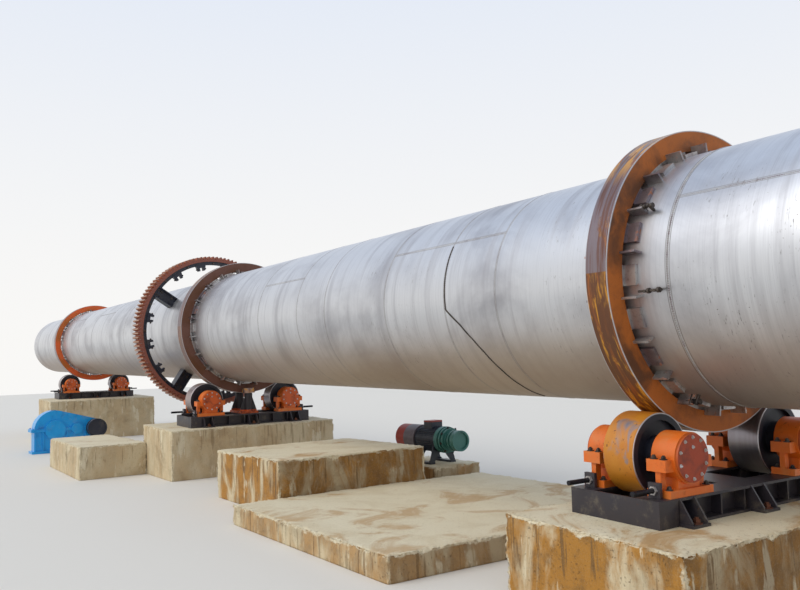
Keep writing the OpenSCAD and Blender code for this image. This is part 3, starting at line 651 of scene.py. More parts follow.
def housing_material(station):
    """Orange housings with redder caps, darker at the discharge station by painted shade, a painted highlight round
    each cap's rim, and rubbed, chipped enamel.
    """
    s, tint = new_material("housing_enamel_" + station)
    place = kiln_coords(s, station)
    out = s.size(s.split(place)[0])
    radius = roller_radius(s, place, station)
    body, _ = s.mottle(place, tint.housing, tint.housing_worn_and_highlight, 5.0, 0.46, 0.72)
    # Partly painted shade: the discharge caps take the darker red-orange, the others a lighter orange
    first = tint.cap if station == "discharge" else tint.cap_plain
    cap, _ = s.mottle(place, first, tint.cap_dark, 7.0, 0.46, 0.74)
    cap_mask = s.band(out, HOUSING_END + 0.0005, HOUSING_END + 0.0015)
    inside = s.band(radius, HOUSING_R + 0.004, HOUSING_R + 0.001)
    end_face = s.times(s.band(out, HOUSING_END - 0.004, HOUSING_END - 0.001), inside)
    # Painted highlight: a lighter ring on the end face round each cap's rim
    rim = s.times(s.band(radius, CAP_R - 0.003, CAP_R), end_face)
    shown = s.mix(cap_mask, body, cap)
    chip = s.scuff(s.coords, 18.0, 0.75)
    grime_and_ground_reflection = s.times(s.band(s.noise(s.coords, 9.0, 7.0, 0.7), 0.54, 0.78), 0.5)
    worn = s.mix(chip, s.mix(grime_and_ground_reflection, shown, tint.cap_dark), tint.rust_dark)
    base = s.mix(s.times(rim, 0.35), worn, tint.housing_worn_and_highlight)
    rough_now = s.blend(s.most(chip, grime_and_ground_reflection), 0.45, 0.8)
    return s.surface(base, rough_now, 0.0, s.coords, HOUSING_GRAIN)


def thrust_material():
    """Dark posts of the thrust bracket over a red-orange foot."""
    s, tint = new_material("thrust_bracket_paint")
    place = kiln_coords(s)
    foot = local_box("thrust_bracket")[0].z
    low = s.band(s.split(place)[2], foot + 0.075, foot + 0.065)
    paint = s.mix(s.band(s.noise(place, 9.0, 6.0, 0.65), 0.45, 0.68), tint.cap_plain, tint.cap_dark)
    dark = s.mix(s.noise(place, 7.0, 6.0), tint.frame, tint.black)
    chip = s.scuff(s.coords, 16.0, 0.6)
    base = s.mix(chip, s.mix(low, dark, paint), tint.rust_dark)
    rough_now = s.blend(chip, 0.46, 0.80)
    return s.surface(base, rough_now, 0.0, s.coords, ENAMEL_GRAIN)


def screw_material(station):
    """Black screws with plated nuts."""
    s, tint = new_material("screw_steel_" + station)
    place = kiln_coords(s, station)
    x, _, z = s.split(place)
    across = s.minus(s.size(x), SCREW_X)
    up = s.minus(z, middle(SCREW_BOX).z)
    radius = s.hypotenuse(across, up)
    nut = s.band(radius, SCREW_R + 0.001, SCREW_R + 0.003)
    wear = s.band(s.noise(s.coords, 30.0, 5.0, 0.7), 0.50, 0.66)
    plated = s.mix(s.times(wear, 0.6), tint.bolt, tint.scuff)
    base = s.mix(nut, s.mix(wear, tint.black, tint.dark_paint), plated)
    s.put(s.shader, Base_Color=base, Metallic=s.blend(nut, 0.4, 0.7), Roughness=s.blend(nut, 0.38, 0.36))
    threads = s.node("ShaderNodeTexWave", wave_type="BANDS", bands_direction="Y")
    s.put(threads, Vector=s.coords, Scale=40.0)
    return s.bump(threads.outputs[1], 0.5, 0.003)


def gear_material():
    """Red-brown primer on the gear's ends, rusty flanks and bright tooth tips."""
    s, tint = new_material("girth_gear_finish")
    place = kiln_coords(s)
    radius = across_radius(s, place)
    body, _ = s.mottle(place, tint.gear, tint.rust_dark, 4.0, 0.50, 0.90)
    teeth = s.band(radius, GEAR_R - 0.064, GEAR_R - 0.058)
    flank = s.mix(s.band(s.noise(place, 20.0, 5.0, 0.65), 0.42, 0.62), tint.gear_flank, tint.rust_dark)
    x = s.split(place)[0]
    ends = s.band(s.size(s.minus(x, GEAR_X)), GEAR_HALF - 0.006, GEAR_HALF - 0.002)
    cut = s.times(teeth, s.minus(1.0, ends))
    tips = s.band(radius, GEAR_R - 0.008, GEAR_R - 0.003)
    shown = s.mix(tips, s.mix(cut, body, flank), tint.gear_tip)
    return s.surface(shown, s.blend(tips, 0.60, 0.45), s.times(tips, 0.3), s.coords, ENAMEL_GRAIN)


def paint_material(name, paint, under, chips=0.4, rough=0.42, dirt=0.35):
    """Enamel over steel, chipped and dusty."""
    s, tint = new_material(name)
    tone, _ = s.mottle(s.coords, paint, under, 3.5, 0.46, 0.88)
    chip = s.scuff(s.coords, 16.0, chips)
    dust = s.times(s.band(s.noise(s.coords, 5.0, 8.0, 0.7), 0.5, 0.75), dirt)
    chipped = s.mix(chip, tone, tint.rust_dark)
    base = s.mix(dust, chipped, tint.concrete_dark)
    rough_now = s.blend(s.most(chip, dust), rough, 0.78)
    return s.surface(base, rough_now, 0.0, s.coords, ENAMEL_GRAIN)


def concrete_material(name, stained, shaded):
    """Cast concrete: gritty pale tops, broken edges, stained sides with drips that run down from the top, and
    painted shade on the faces that look along +X.
    """
    s, tint = new_material(name)
    edge, below = mesh_value(s, "edge_wear"), mesh_value(s, "below_top")
    patch = s.noise(s.coords, 1.7, 7.0, 0.65, 0.4)
    grit = s.noise(s.coords, 70.0, 4.0, 0.75)
    stones = s.node("ShaderNodeTexVoronoi")
    s.put(stones, Vector=s.coords, Scale=46.0)
    stone_tone = s.split(stones.outputs["Color"])[0]

    pale = s.mix(s.times(s.band(patch, 0.42, 0.66), 0.75), tint.concrete, tint.concrete_side)
    pooled = s.times(s.band(s.noise(s.coords, 1.1, 6.0, 0.65, 0.8), 0.52, 0.64), 0.12 + stained * 0.6)
    top = s.mix(pooled, pale, tint.stain)

    cast = s.mix(s.band(patch, 0.46, 0.70), tint.concrete_side, tint.concrete_dark)
    soak = s.noise(s.scaled(s.coords, (1.0, 1.0, 0.35)), 2.6, 7.0, 0.62, 0.5)
    ochre = s.times(s.band(soak, 0.38, 0.56), stained)
    deep = s.times(s.band(s.noise(s.coords, 5.0, 6.0, 0.7), 0.42, 0.66), 0.6)
    soaked = s.mix(ochre, cast, s.mix(deep, tint.stain, tint.damp_stain_and_shade))
    reach = s.times(s.noise(s.scaled(s.coords, (1.0, 1.0, 0.02)), 7.0, 5.0, 0.7), 0.9)
    reached = s.band(s.minus(reach, below), -0.03, 0.10)
    drips = s.group(group_streaks(), Vector=s.coords, Width=15.0, Low=0.55, High=0.63)
    dark = s.times(s.times(drips.outputs["Mask"], reached), 0.35 + 0.4 * stained)
    washes = s.group(group_streaks(), Vector=s.scaled(s.coords, (1.0, 1.0, 2.5)), Width=5.5, Low=0.57, High=0.62)
    wash = s.times(washes.outputs["Mask"], s.band(s.noise(s.coords, 3.0, 4.0), 0.44, 0.54))
    runs = s.mix(s.times(wash, 0.85), s.mix(dark, soaked, tint.damp_stain_and_shade), tint.concrete)
    normal = s.split(s.node("ShaderNodeNewGeometry").outputs["Normal"])
    # Painted shade: faces that look along +X are darkened with the damp colour, as strongly as shaded says
    shade = s.times(s.band(normal[0], 0.5, 0.8), s.blend(s.band(patch, 0.52, 0.60), shaded, shaded * 0.35))
    sides = s.mix(shade, runs, tint.damp_stain_and_shade)

    surface = s.mix(s.band(normal[2], 0.45, 0.75), sides, top)
    broken = s.mix(s.band(stone_tone, 0.2, 0.9), tint.concrete, tint.concrete_side)
    rough_edge = s.band(s.plus(edge, s.times(s.minus(grit, 0.5), 0.9)), 0.34, 0.54)
    chipped = s.times(rough_edge, s.band(s.noise(s.coords, 2.3, 5.0, 0.6), 0.40, 0.56))
    edged = s.mix(chipped, surface, broken)
    gritty = s.mix(s.times(s.band(grit, 0.50, 0.68), 0.25), edged, tint.concrete_dark)
    pits = s.band(s.noise(s.coords, 36.0, 4.0, 0.75), 0.60, 0.68)
    base = s.mix(s.times(pits, 0.55), gritty, tint.damp_stain_and_shade)
    s.put(s.shader, Base_Color=base, Roughness=s.blend(ochre, 0.94, 0.74))
    grain = s.group(group_grain(), Vector=s.coords, Coarse=26.0, Fine=120.0, Balance=0.5)
    lumps = s.times(s.times(stone_tone, chipped), 0.6)
    height = s.minus(s.plus(grain.outputs["Height"], lumps), s.times(pits, 0.6))
    return s.bump(height, 0.8, 0.010)


def dress(material, *names):
    """Gives CAD nodes a material."""
    for name in names:
        slots = NODES[name].data.materials
        slots.clear()
        slots.append(material)


def add_piece(name, mesh, body, material=None):
    """A finished piece at the origin that rides on a body."""
    piece = bpy.data.objects.new(name, mesh)
    bpy.context.scene.collection.objects.link(piece)
    if material:
        mesh.materials.clear()
        mesh.materials.append(material)
    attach(piece, body)
    return piece


class Geo(Nodes):
    """A helper that builds a Geometry Nodes tree."""

    def __init__(self, name, **inputs):
        super().__init__(bpy.data.node_groups.new(name, "GeometryNodeTree"))
        add_sockets(self.tree, "INPUT", {"Geometry": None, **inputs})
        add_sockets(self.tree, "OUTPUT", {"Geometry": None})
        self.given = self.node("NodeGroupInput").outputs
        self.end = self.node("NodeGroupOutput")

    def close(self, geometry, material):
        """Realizes the instances and sets their material."""
        real = self.node("GeometryNodeRealizeInstances")
        self.set(real, 0, geometry)
        paint = self.node("GeometryNodeSetMaterial")
        self.put(paint, Geometry=real.outputs[0], Material=material)
        self.set(self.end, 0, paint.outputs[0])
        return self.tree


@built_once("Fasteners")
def fastener_tree(name):
    """Puts a washer, a hexagon head and a stud end on each point, along the point's aim."""
    g = Geo(name, **{"Head Radius": 0.02, "Material": None})
    radius = g.given["Head Radius"]
    parts = g.node("GeometryNodeJoinGeometry")
    for sides, wide, tall, at in ((16, 1.5, 0.3, 0.15), (6, 1.0, 0.9, 0.75), (10, 0.55, 0.5, 1.4)):
        rod = g.node("GeometryNodeMeshCylinder")
        g.put(rod, Vertices=sides, Radius=g.times(radius, wide), Depth=g.times(radius, tall))
        lift = g.node("ShaderNodeCombineXYZ")
        g.set(lift, 2, g.times(radius, at))
        move = g.node("GeometryNodeTransform")
        g.put(move, Geometry=rod.outputs["Mesh"], Translation=lift.outputs[0])
        g.tree.links.new(move.outputs[0], parts.inputs[0])
    aim = g.node("GeometryNodeInputNamedAttribute", data_type="FLOAT_VECTOR")
    g.set(aim, "Name", "aim")
    turn = g.node("FunctionNodeAlignRotationToVector", axis="Z")
    g.set(turn, "Vector", aim.outputs["Attribute"])
    place = g.node("GeometryNodeInstanceOnPoints")
    g.put(place, Points=g.given["Geometry"], Instance=parts.outputs[0], Rotation=turn.outputs[0])
    return g.close(place.outputs[0], g.given["Material"])


@built_once("Weld Bead")
def bead_tree(name):
    """Sets overlapping weld ripples along the edges of a path."""
    g = Geo(name, Width=0.02, Step=0.012, Material=None)
    path = g.node("GeometryNodeMeshToCurve")
    g.set(path, "Mesh", g.given["Geometry"])
    even = g.node("GeometryNodeResampleCurve", mode="LENGTH")
    g.put(even, Curve=path.outputs[0], Length=g.given["Step"])
    ripple = g.node("GeometryNodeMeshIcoSphere")
    g.put(ripple, Subdivisions=1, Radius=g.times(g.given["Width"], 0.5))
    run = g.node("GeometryNodeInputTangent")
    turn = g.node("FunctionNodeAlignRotationToVector", axis="X")
    g.set(turn, "Vector", run.outputs[0])
    place = g.node("GeometryNodeInstanceOnPoints")
    g.put(place, Points=even.outputs[0], Instance=ripple.outputs[0], Rotation=turn.outputs[0])
    smooth = g.node("GeometryNodeSetShadeSmooth")
    g.set(smooth, 0, place.outputs[0])
    return g.close(smooth.outputs[0], g.given["Material"])


def run_tree(name, mesh, tree, values):
    """Evaluates a tree on a mesh and returns the plain result."""
    carrier = bpy.data.objects.new(name + "_carrier", mesh)
    bpy.context.scene.collection.objects.link(carrier)
    modifier = carrier.modifiers.new("tree", "NODES")
    modifier.node_group = tree
    for item in tree.interface.items_tree:
        if item.item_type == "SOCKET" and item.in_out == "INPUT" and item.name in values:
            modifier[item.identifier] = values[item.name]
    bpy.context.view_layer.update()
    graph = bpy.context.evaluated_depsgraph_get()
    result = bpy.data.meshes.new_from_object(carrier.evaluated_get(graph), depsgraph=graph)
    bpy.data.objects.remove(carrier)
    result.name = name
    return result


def aimed_points(name, spots, matrix=None):
    """A mesh of points, each with the direction that its fastener faces."""
    mesh = bpy.data.meshes.new(name)
    matrix = matrix or Matrix.Identity(4)
    turn = matrix.to_3x3()
    mesh.from_pydata([matrix @ Vector(at) for at, _ in spots], [], [])
    aims = mesh.attributes.new("aim", "FLOAT_VECTOR", "POINT")
    for value, (_, aim) in zip(aims.data, spots):
        value.vector = turn @ Vector(aim)
    return mesh


def add_fasteners(name, spots, radius, body, material, matrix=None):
    """Bolts at the spots, as one piece."""
    points = aimed_points(name + "_points", spots, matrix)
    mesh = run_tree(name, points, fastener_tree(), {"Head Radius": radius, "Material": material})
    return add_piece(name, mesh, body)


def ring_spots(x, radius, count, aim=(1, 0, 0), phase=0.0, y=0.0, z=0.0):
    """Spots round a circle about X."""
    turn = 2 * math.pi / count
    return [((x, y + radius * math.cos(phase + k * turn), z + radius * math.sin(phase + k * turn)), aim)
            for k in range(count)]


def round_axis(degrees):
    """The ways out from the kiln's axis and on round it, at an angle."""
    a = math.radians(degrees)
    return Vector((0, math.cos(a), math.sin(a))), Vector((0, -math.sin(a), math.cos(a)))


def four_spots(x, y, z, along, across):
    """Spots at the corners of a rectangle, facing up."""
    return [((x + i, y + j, z), (0, 0, 1)) for j in (-across, across) for i in (-along, along)]


def girth_path(x, radius, steps=96):
    """Points round the shell at one place along it."""
    turn = 2 * math.pi / steps
    return [(x, radius * math.cos(k * turn), radius * math.sin(k * turn)) for k in range(steps)]


def on_shell(x, degrees, radius):
    """A point of the shell; 180 degrees faces the camera's side and 90 is the top."""
    a = math.radians(degrees)
    return (x, radius * math.cos(a), radius * math.sin(a))


def finer_path(corners, parts=8):
    """Pairs of values with further ones between them."""
    path = []
    for (a, b), (c, d) in zip(corners, corners[1:]):
        path += [(a + (c - a) * k / parts, b + (d - b) * k / parts) for k in range(parts)]
    return path + [corners[-1]]


def girth_seams():
    """Place along the kiln and half width of each girth seam."""
    near, mid = TYRE_X["discharge"], TYRE_X["middle"]
    plain = [near - k for k in UP_SEAMS] + [near + k for k in DOWN_SEAMS] + [mid + GEAR_SEAM]
    plain += [mid - TOP_SEAM - TOP_STEP * k for k in range(6)]
    return [(near + NEAR_SEAM, 0.019)] + [(x, 0.011) for x in plain]


def long_seams():
    """Start, end and angle round the shell of each seam along the kiln."""
    near, mid = TYRE_X["discharge"], TYRE_X["middle"]
    seams = [(near + NEAR_SEAM, near + DOWN_SEAMS[0], 147.5), (near + DOWN_SEAMS[0], near + DOWN_SEAMS[1], 60.0)]
    for a, b, turn in ((2, 0, 147.0), (3, 2, 40.0), (5, 4, 150.0)):
        seams.append((near - UP_SEAMS[a], near - UP_SEAMS[b], turn))
    top = mid - TOP_SEAM
    return seams + [(top - TOP_STEP * (k + 1), top - TOP_STEP * k, 140.0 - 90.0 * (k % 2)) for k in range(5)]


class KilnOperator:
    """Common settings of the kiln's operators."""

    bl_options = {"REGISTER", "UNDO"}


class KILN_OT_shell(KilnOperator, bpy.types.Operator):
    """Gives the shell courses their bright plate"""

    bl_idname = "kiln.shell"
    bl_label = "Shell"

    def execute(self, context):
        dress(shell_material(), *[n for n in NODES if n.startswith("shell_")])
        return {"FINISHED"}


class KILN_OT_welds(KilnOperator, bpy.types.Operator):
    """Lays the weld seams round and along the shell"""

    bl_idname = "kiln.welds"
    bl_label = "Weld seams"

    def execute(self, context):
        tint, size = finish_colours(), finish_sizes()
        metal = bare_steel_material("weld_metal", tint.weld, tint.tread, 0.38)
        burnt = bare_steel_material("burnt_weld_metal", tint.scuff, tint.frame, 0.5)
        lie = SHELL_R - size.bead * 0.28
        near = TYRE_X["discharge"]
        rings = [girth_path(x, lie) for x, _ in girth_seams()]
        lines = [[on_shell(a + (b - a) * k / 12, degrees, lie) for k in range(13)] for a, b, degrees in long_seams()]
        oblique = [on_shell(near - away, degrees, SHELL_R - 0.004) for away, degrees in finer_path(OBLIQUE_SEAM)]
        for name, closed, paths, width, steel in (
                ("weld_seams", True, rings[1:], size.bead, metal),
                ("near_weld_seam", True, rings[:1], size.near_bead, metal),
                ("long_weld_seams", False, lines, size.bead, metal),
                ("oblique_weld_seam", False, [oblique], OBLIQUE_BEAD, burnt)):
            vertices, edges = [], []
            for points in paths:
                start, count = len(vertices), len(points)
                vertices += [KILN @ Vector(p) for p in points]
                edges += [(start + k, start + (k + 1) % count) for k in range(count if closed else count - 1)]
            path = bpy.data.meshes.new(name + "_path")
            path.from_pydata(vertices, edges, [])
            mesh = run_tree(name, path, bead_tree(), {"Width": width, "Step": width * 0.7, "Material": steel})
            add_piece(name, mesh, "drum")
        return {"FINISHED"}


def cylinders(name, rods, body, material, sides=16):
    """Round bars, each from one point of the kiln's axes to another with a radius, as one piece."""
    work = bmesh.new()
    for start, stop, radius in rods:
        start, stop = KILN @ Vector(start), KILN @ Vector(stop)
        run = stop - start
        place = Matrix.Translation((start + stop) / 2) @ run.to_track_quat("Z", "Y").to_matrix().to_4x4()
        bmesh.ops.create_cone(work, cap_ends=True, segments=sides, radius1=radius, radius2=radius,
                              depth=run.length, matrix=place)
    mesh = bpy.data.meshes.new(name)
    work.to_mesh(mesh)
    work.free()
    return add_piece(name, mesh, body, material)


class KILN_OT_tyres(KilnOperator, bpy.types.Operator):
    """Finishes the three tyres and their pads and adds the pad clamps"""

    bl_idname = "kiln.tyres"
    bl_label = "Tyres and pads"

    def execute(self, context):
        tint = finish_colours()
        dress(tyre_material("tyre_discharge_rust", "discharge", tint.rust, tint.rust_dark, 1.0), "tyre_discharge")
        dress(tyre_material("tyre_middle_rust", "middle", tint.rust_face, tint.rust_dark, 0.6), "tyre_middle")
        dress(tyre_material("tyre_inlet_paint", "inlet", tint.tyre_paint, tint.rust, 0.0), "tyre_inlet")
        for station in STATIONS:
            dress(pad_material(station), "tyre_pads_" + station)
        steel = bare_steel_material("clamp_steel", tint.scuff, tint.black, 0.4)
        rods = []
        over = SHELL_R + CLAMP_OVER
        for away, degrees, reach in CLAMPS:
            start = TYRE_X["discharge"] + away
            rods.append((on_shell(start, degrees, over), on_shell(start + reach, degrees, over), CLAMP_ROD))
            for part in CLAMP_STUDS:
                at = start + part * reach
                stud = [on_shell(at, degrees, radius) for radius in (SHELL_R - STUD_SUNK, over + STUD_OVER)]
                nut = [on_shell(at + end, degrees, over) for end in NUT_ENDS]
                rods += [(*stud, CLAMP_STUD), (*nut, CLAMP_NUT)]
        cylinders("pad_clamps", rods, "drum", steel)
        return {"FINISHED"}


class KILN_OT_gear(KilnOperator, bpy.types.Operator):
    """Finishes the girth gear, its ring and the spring plates, and bolts the ring on"""

    bl_idname = "kiln.gear"
    bl_label = "Girth gear"

    def execute(self, context):
        tint, size = finish_colours(), finish_sizes()
        dress(gear_material(), "girth_gear")
        dark = paint_material("gear_dark_paint", tint.dark_paint, tint.frame, 0.4, 0.4, 0.12)
        dress(dark, "gear_ring", "spring_plates")
        steel = bare_steel_material("ring_bolt_steel", tint.scuff, tint.dark_paint, 0.4)
        back = local_box("gear_ring")[0].x
        front = back + RING_T
        spots = ring_spots(back, RING_BOLT_R, RING_BOLTS, (-1, 0, 0))
        for spot in ring_spots(front, RING_BOLT_R, RING_BOLTS):
            degrees = math.degrees(math.atan2(spot[0][2], spot[0][1])) - LUG_PHASE
            if abs((degrees + LUG_STEP / 2) % LUG_STEP - LUG_STEP / 2) > LUG_CLEAR:
                spots.append(spot)
        for k in range(LUGS):
            if k % 4:
                out, along = round_axis(LUG_PHASE + k * LUG_STEP)
                for side in (-1, 1):
                    at = Vector((front - LUG_BOLT_IN, 0, 0)) + out * LUG_BOLT_R + along * side * LUG_BOLT_OUT
                    spots.append((at, along * side))
        add_fasteners("gear_ring_bolts", spots, size.ring_bolt, "drum", steel, KILN)
        plates = []
        plate_front = local_box("spring_plates")[1].x - PLATE_FLANGE
        for k in range(4):
            out, along = round_axis(LUG_PHASE + 90 * k)
            for radius in PLATE_BOLT_R:
                for side in (-PLATE_BOLT_OUT, PLATE_BOLT_OUT):
                    plates.append((Vector((plate_front, 0, 0)) + out * radius + along * side, (1, 0, 0)))
        add_fasteners("spring_plate_bolts", plates, size.ring_bolt, "drum", steel, KILN)
        return {"FINISHED"}


class KILN_OT_rollers(KilnOperator, bpy.types.Operator):
    """Finishes the support rollers and the thrust rollers"""

    bl_idname = "kiln.rollers"
    bl_label = "Rollers"

    def execute(self, context):
        tint = finish_colours()
        for station, greasy in zip(STATIONS, (0.1, 0.2, 1.0)):
            dress(roller_material(station, greasy), "roller_front_" + station, "roller_back_" + station)
        dress(bare_steel_material("thrust_steel", tint.tread, tint.grease, 0.3),
              "thrust_roller_downhill", "thrust_roller_uphill")
        return {"FINISHED"}


class KILN_OT_bearings(KilnOperator, bpy.types.Operator):
    """Paints the bearing housings and the thrust bracket and bolts the caps, ears and feet"""

    bl_idname = "kiln.bearings"
    bl_label = "Bearings"

    def execute(self, context):
        tint, size = finish_colours(), finish_sizes()
        for station in STATIONS:
            dress(housing_material(station), "bearing_housings_" + station)
        dress(thrust_material(), "thrust_bracket")
        steel = bare_steel_material("cap_bolt_steel", tint.bolt, tint.shell, 0.5)
        dark = bare_steel_material("dark_bolt_steel", tint.scuff, tint.black, 0.4)
        cap, ear, foot = [], [], []
        for at in ROLLER_AT.values():
            for end in (-1, 1):
                x = at.x + end * CAP_FACE
                cap += ring_spots(x, CAP_BOLT_RING, CAP_BOLTS, (end, 0, 0), 0.3, at.y, at.z)
                cap.append(((x, at.y, at.z + CAP_PLUG), (end, 0, 0)))
                for spots, (along, across, down) in ((ear, EAR_BOLTS), (foot, FOOT_BOLTS)):
                    spots.extend(four_spots(at.x + end * HOUSING_MID, at.y, at.z - down, along, across))
        add_fasteners("cap_bolts", cap, size.cap_bolt, "foundation", steel, KILN)
        add_fasteners("ear_bolts", ear, size.ear_bolt, "foundation", dark, KILN)
        add_fasteners("foot_bolts", foot, size.ear_bolt, "foundation", dark, KILN)
        return {"FINISHED"}


class KILN_OT_frames(KilnOperator, bpy.types.Operator):
    """Finishes the base frames and adjusting screws and puts in the anchor bolts"""

    bl_idname = "kiln.frames"
    bl_label = "Base frames"

    def execute(self, context):
        tint, size = finish_colours(), finish_sizes()
        dress(paint_material("frame_primer", tint.frame, tint.dark_paint, 0.7, 0.42, 0.3),
              *["base_frame_" + s for s in STATIONS])
        for station in STATIONS:
            dress(screw_material(station), "adjusting_screws_" + station)
        steel = bare_steel_material("anchor_steel", tint.rust_face, tint.rust_dark, 0.5)
        spots = []
        for station in STATIONS:
            box = FRAME_BOX[station]
            mid = middle(box)
            reach = (box[1].x - box[0].x) / 2 - ANCHOR_IN_X
            half = (box[1].y - box[0].y) / 2 - ANCHOR_IN_Y
            plate_top = box[0].z + FRAME_PLATE
            for along in (-reach, reach):
                for across in (-half, 0, half):
                    spots.append(((mid.x + along, mid.y + across, plate_top), (0, 0, 1)))
        add_fasteners("anchor_nuts", spots, size.anchor_bolt, "foundation", steel, KILN)
        return {"FINISHED"}


def worn_block(node, material):
    """Concrete with crumbled edges that stands for a plain CAD block."""
    size = finish_sizes()
    low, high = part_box(node)
    span = high - low
    work = bmesh.new()
    counts = [max(2, round(span[k] / size.cell)) for k in range(3)]
    for flat in range(3):
        first, second = [k for k in range(3) if k != flat]
        for end in (0, 1):
            grid = []
            for i in range(counts[first] + 1):
                row = []
                for j in range(counts[second] + 1):
                    part = [0.0, 0.0, 0.0]
                    part[flat] = float(end)
                    part[first] = i / counts[first]
                    part[second] = j / counts[second]
                    row.append(work.verts.new(part))
                grid.append(row)
            for i in range(counts[first]):
                for j in range(counts[second]):
                    work.faces.new((grid[i][j], grid[i + 1][j], grid[i + 1][j + 1], grid[i][j + 1]))
    bmesh.ops.remove_doubles(work, verts=work.verts, dist=1e-5)

    def gaps(vert):
        return [min(vert.co[k], 1 - vert.co[k]) * span[k] for k in range(3)]

    for reach in FINER_NEAR_EDGE:
        near = {v for v in work.verts if sorted(gaps(v))[1] < reach}
        edges = [e for e in work.edges if e.verts[0] in near and e.verts[1] in near]
        bmesh.ops.subdivide_edges(work, edges=edges, cuts=1, use_grid_fill=True)
    bmesh.ops.recalc_face_normals(work, faces=work.faces)
    wear, depth_down = [], []
    for vert in work.verts:
        gap = gaps(vert)
        part = vert.co.copy()
        point = Vector(low[k] + part[k] * span[k] for k in range(3))
        bite = max(0.0, BITE_LEVEL + BITE_GAIN * noise.fractal(point * BITE_DENSITY, 0.7, 2.1, 5))
        crumb = abs(noise.fractal(point * CRUMB_DENSITY + CRUMB_SHIFT, 0.8, 2.0, 3))
        edge_gap = [gap[0], gap[1], (1.0 - part[2]) * span[2]]
        from_edge = sorted(edge_gap)[1]
        wear.append(math.exp(-(from_edge / (WEAR_REACH + WEAR_BITE * bite)) ** 2))
        depth_down.append((1.0 - part[2]) * span[2])
        shift = Vector((0, 0, 0))
        for k in range(3):
            if gap[k] > 1e-6 or (k == 2 and part[2] < 0.5):
                continue
            others = min(edge_gap[m] for m in range(3) if m != k)
            depth = size.chip * bite * math.exp(-(others / CHIP_REACH) ** 2)
            depth += CRUMB_DEPTH * crumb * math.exp(-(others / CRUMB_REACH) ** 2)
            shift[k] += depth if part[k] < 0.5 else -depth
        point += shift
        if node.startswith("pier_"):
            top_here = high[2] - (point.x - low[0]) * math.tan(SLOPE)
            point.z = low[2] + (point.z - low[2]) * (top_here - low[2]) / span[2]
        vert.co = point
    for face in work.faces:
        face.smooth = True
    name = "worn_" + node
    mesh = bpy.data.meshes.new(name)
    work.to_mesh(mesh)
    work.free()
    for label, values in (("edge_wear", wear), ("below_top", depth_down)):
        mesh.attributes.new(label, "FLOAT", "POINT").data.foreach_set("value", values)
    piece = add_piece(name, mesh, "foundation", material)
    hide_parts(node)
    return piece


class KILN_OT_concrete(KilnOperator, bpy.types.Operator):
    """Builds the worn piers and blocks"""

    bl_idname = "kiln.concrete"
    bl_label = "Piers and blocks"

    def execute(self, context):
        # The third value of each row is the strength of the painted shade on faces that look along +X
        for name, stained, shaded, nodes in (
                ("ochre_concrete", 1.0, 0.50, ("pier_discharge", "middle_block")),
                ("stained_concrete", 0.7, 0.35, ("low_plinth", "motor_pad")),
                ("grey_concrete", 0.28, 0.12, ("pier_middle", "drive_block", "pier_inlet"))):
            material = concrete_material(name, stained, shaded)
            for node in nodes:
                worn_block(node, material)
        return {"FINISHED"}


class KILN_OT_gearbox(KilnOperator, bpy.types.Operator):
    """Paints the gearbox and adds its flange bolts and breather"""

    bl_idname = "kiln.gearbox"
    bl_label = "Gearbox"

    def execute(self, context):
        tint = finish_colours()
        blue = paint_material("gearbox_enamel", tint.blue, tint.blue_dark, 0.50, 0.30, 0.18)
        dress(blue, "gearbox_case", "gearbox_cover")
        dress(paint_material("coupling_paint", tint.dark_paint, tint.frame, 0.3, 0.4, 0.1), "gearbox_coupling")
        low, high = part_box("gearbox_cover")
        spots = []
        for x in (low.x + FLANGE_BOLT_IN, high.x - FLANGE_BOLT_IN):
            for k in range(FLANGE_BOLTS):
                y = low.y + FLANGE_BOLT_IN + k * (high.y - low.y - 2 * FLANGE_BOLT_IN) / (FLANGE_BOLTS - 1)
                spots.append(((x, y, low.z + FLANGE_T), (0, 0, 1)))
        add_fasteners("gearbox_bolts", spots, FLANGE_BOLT, "foundation", blue)
        mid_x, peak_y = (low.x + high.x) / 2, low.y + BREATHER_Y
        ends = [KILN_INV @ Vector((mid_x, peak_y, high.z + over)) for over in (-0.010, 0.008)]
        cylinders("gearbox_breather", [(*ends, BREATHER_R)], "foundation",
                  paint_material("breather_paint", tint.dark_paint, tint.black, 0.3, 0.4, 0.1))
        return {"FINISHED"}


def motor_material():
    """Dark finned body with a teal bell and a red lid on the terminal box."""
    s, tint = new_material("motor_enamel")
    _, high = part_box("motor_body")
    x, _, z = s.split(s.coords)
    bell = s.band(x, high.x - BELL_L - 0.001, high.x - BELL_L + 0.001)
    lid = s.band(z, high.z - LID_T - 0.001, high.z - LID_T + 0.001)
    shown = s.mix(lid, s.mix(bell, tint.motor, tint.teal), tint.cowl)
    grime_and_ground_reflection = s.band(s.noise(s.coords, 9.0, 7.0, 0.7), 0.50, 0.75)
    base = s.mix(s.times(grime_and_ground_reflection, 0.45), shown, tint.dark_paint)
    rough_now = s.blend(grime_and_ground_reflection, 0.40, 0.75)
    return s.surface(base, rough_now, 0.0, s.coords, MOTOR_GRAIN)


def cowl_material():
    """Fan cowl, red at its end with a blue-grey band beside the motor body."""
    s, tint = new_material("cowl_enamel")
    low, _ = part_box("motor_cowl")
    edge = low.x + COWL_RED
    band = s.band(s.split(s.coords)[0], edge - 0.001, edge + 0.001)
    shown = s.mix(band, tint.cowl, s.mix(s.noise(s.coords, 5.0, 5.0), tint.motor, tint.tread))
    chip = s.scuff(s.coords, 16.0, 0.7)
    return s.surface(s.mix(chip, shown, tint.rust_dark), s.blend(chip, 0.5, 0.8), 0.0, s.coords, MOTOR_GRAIN)


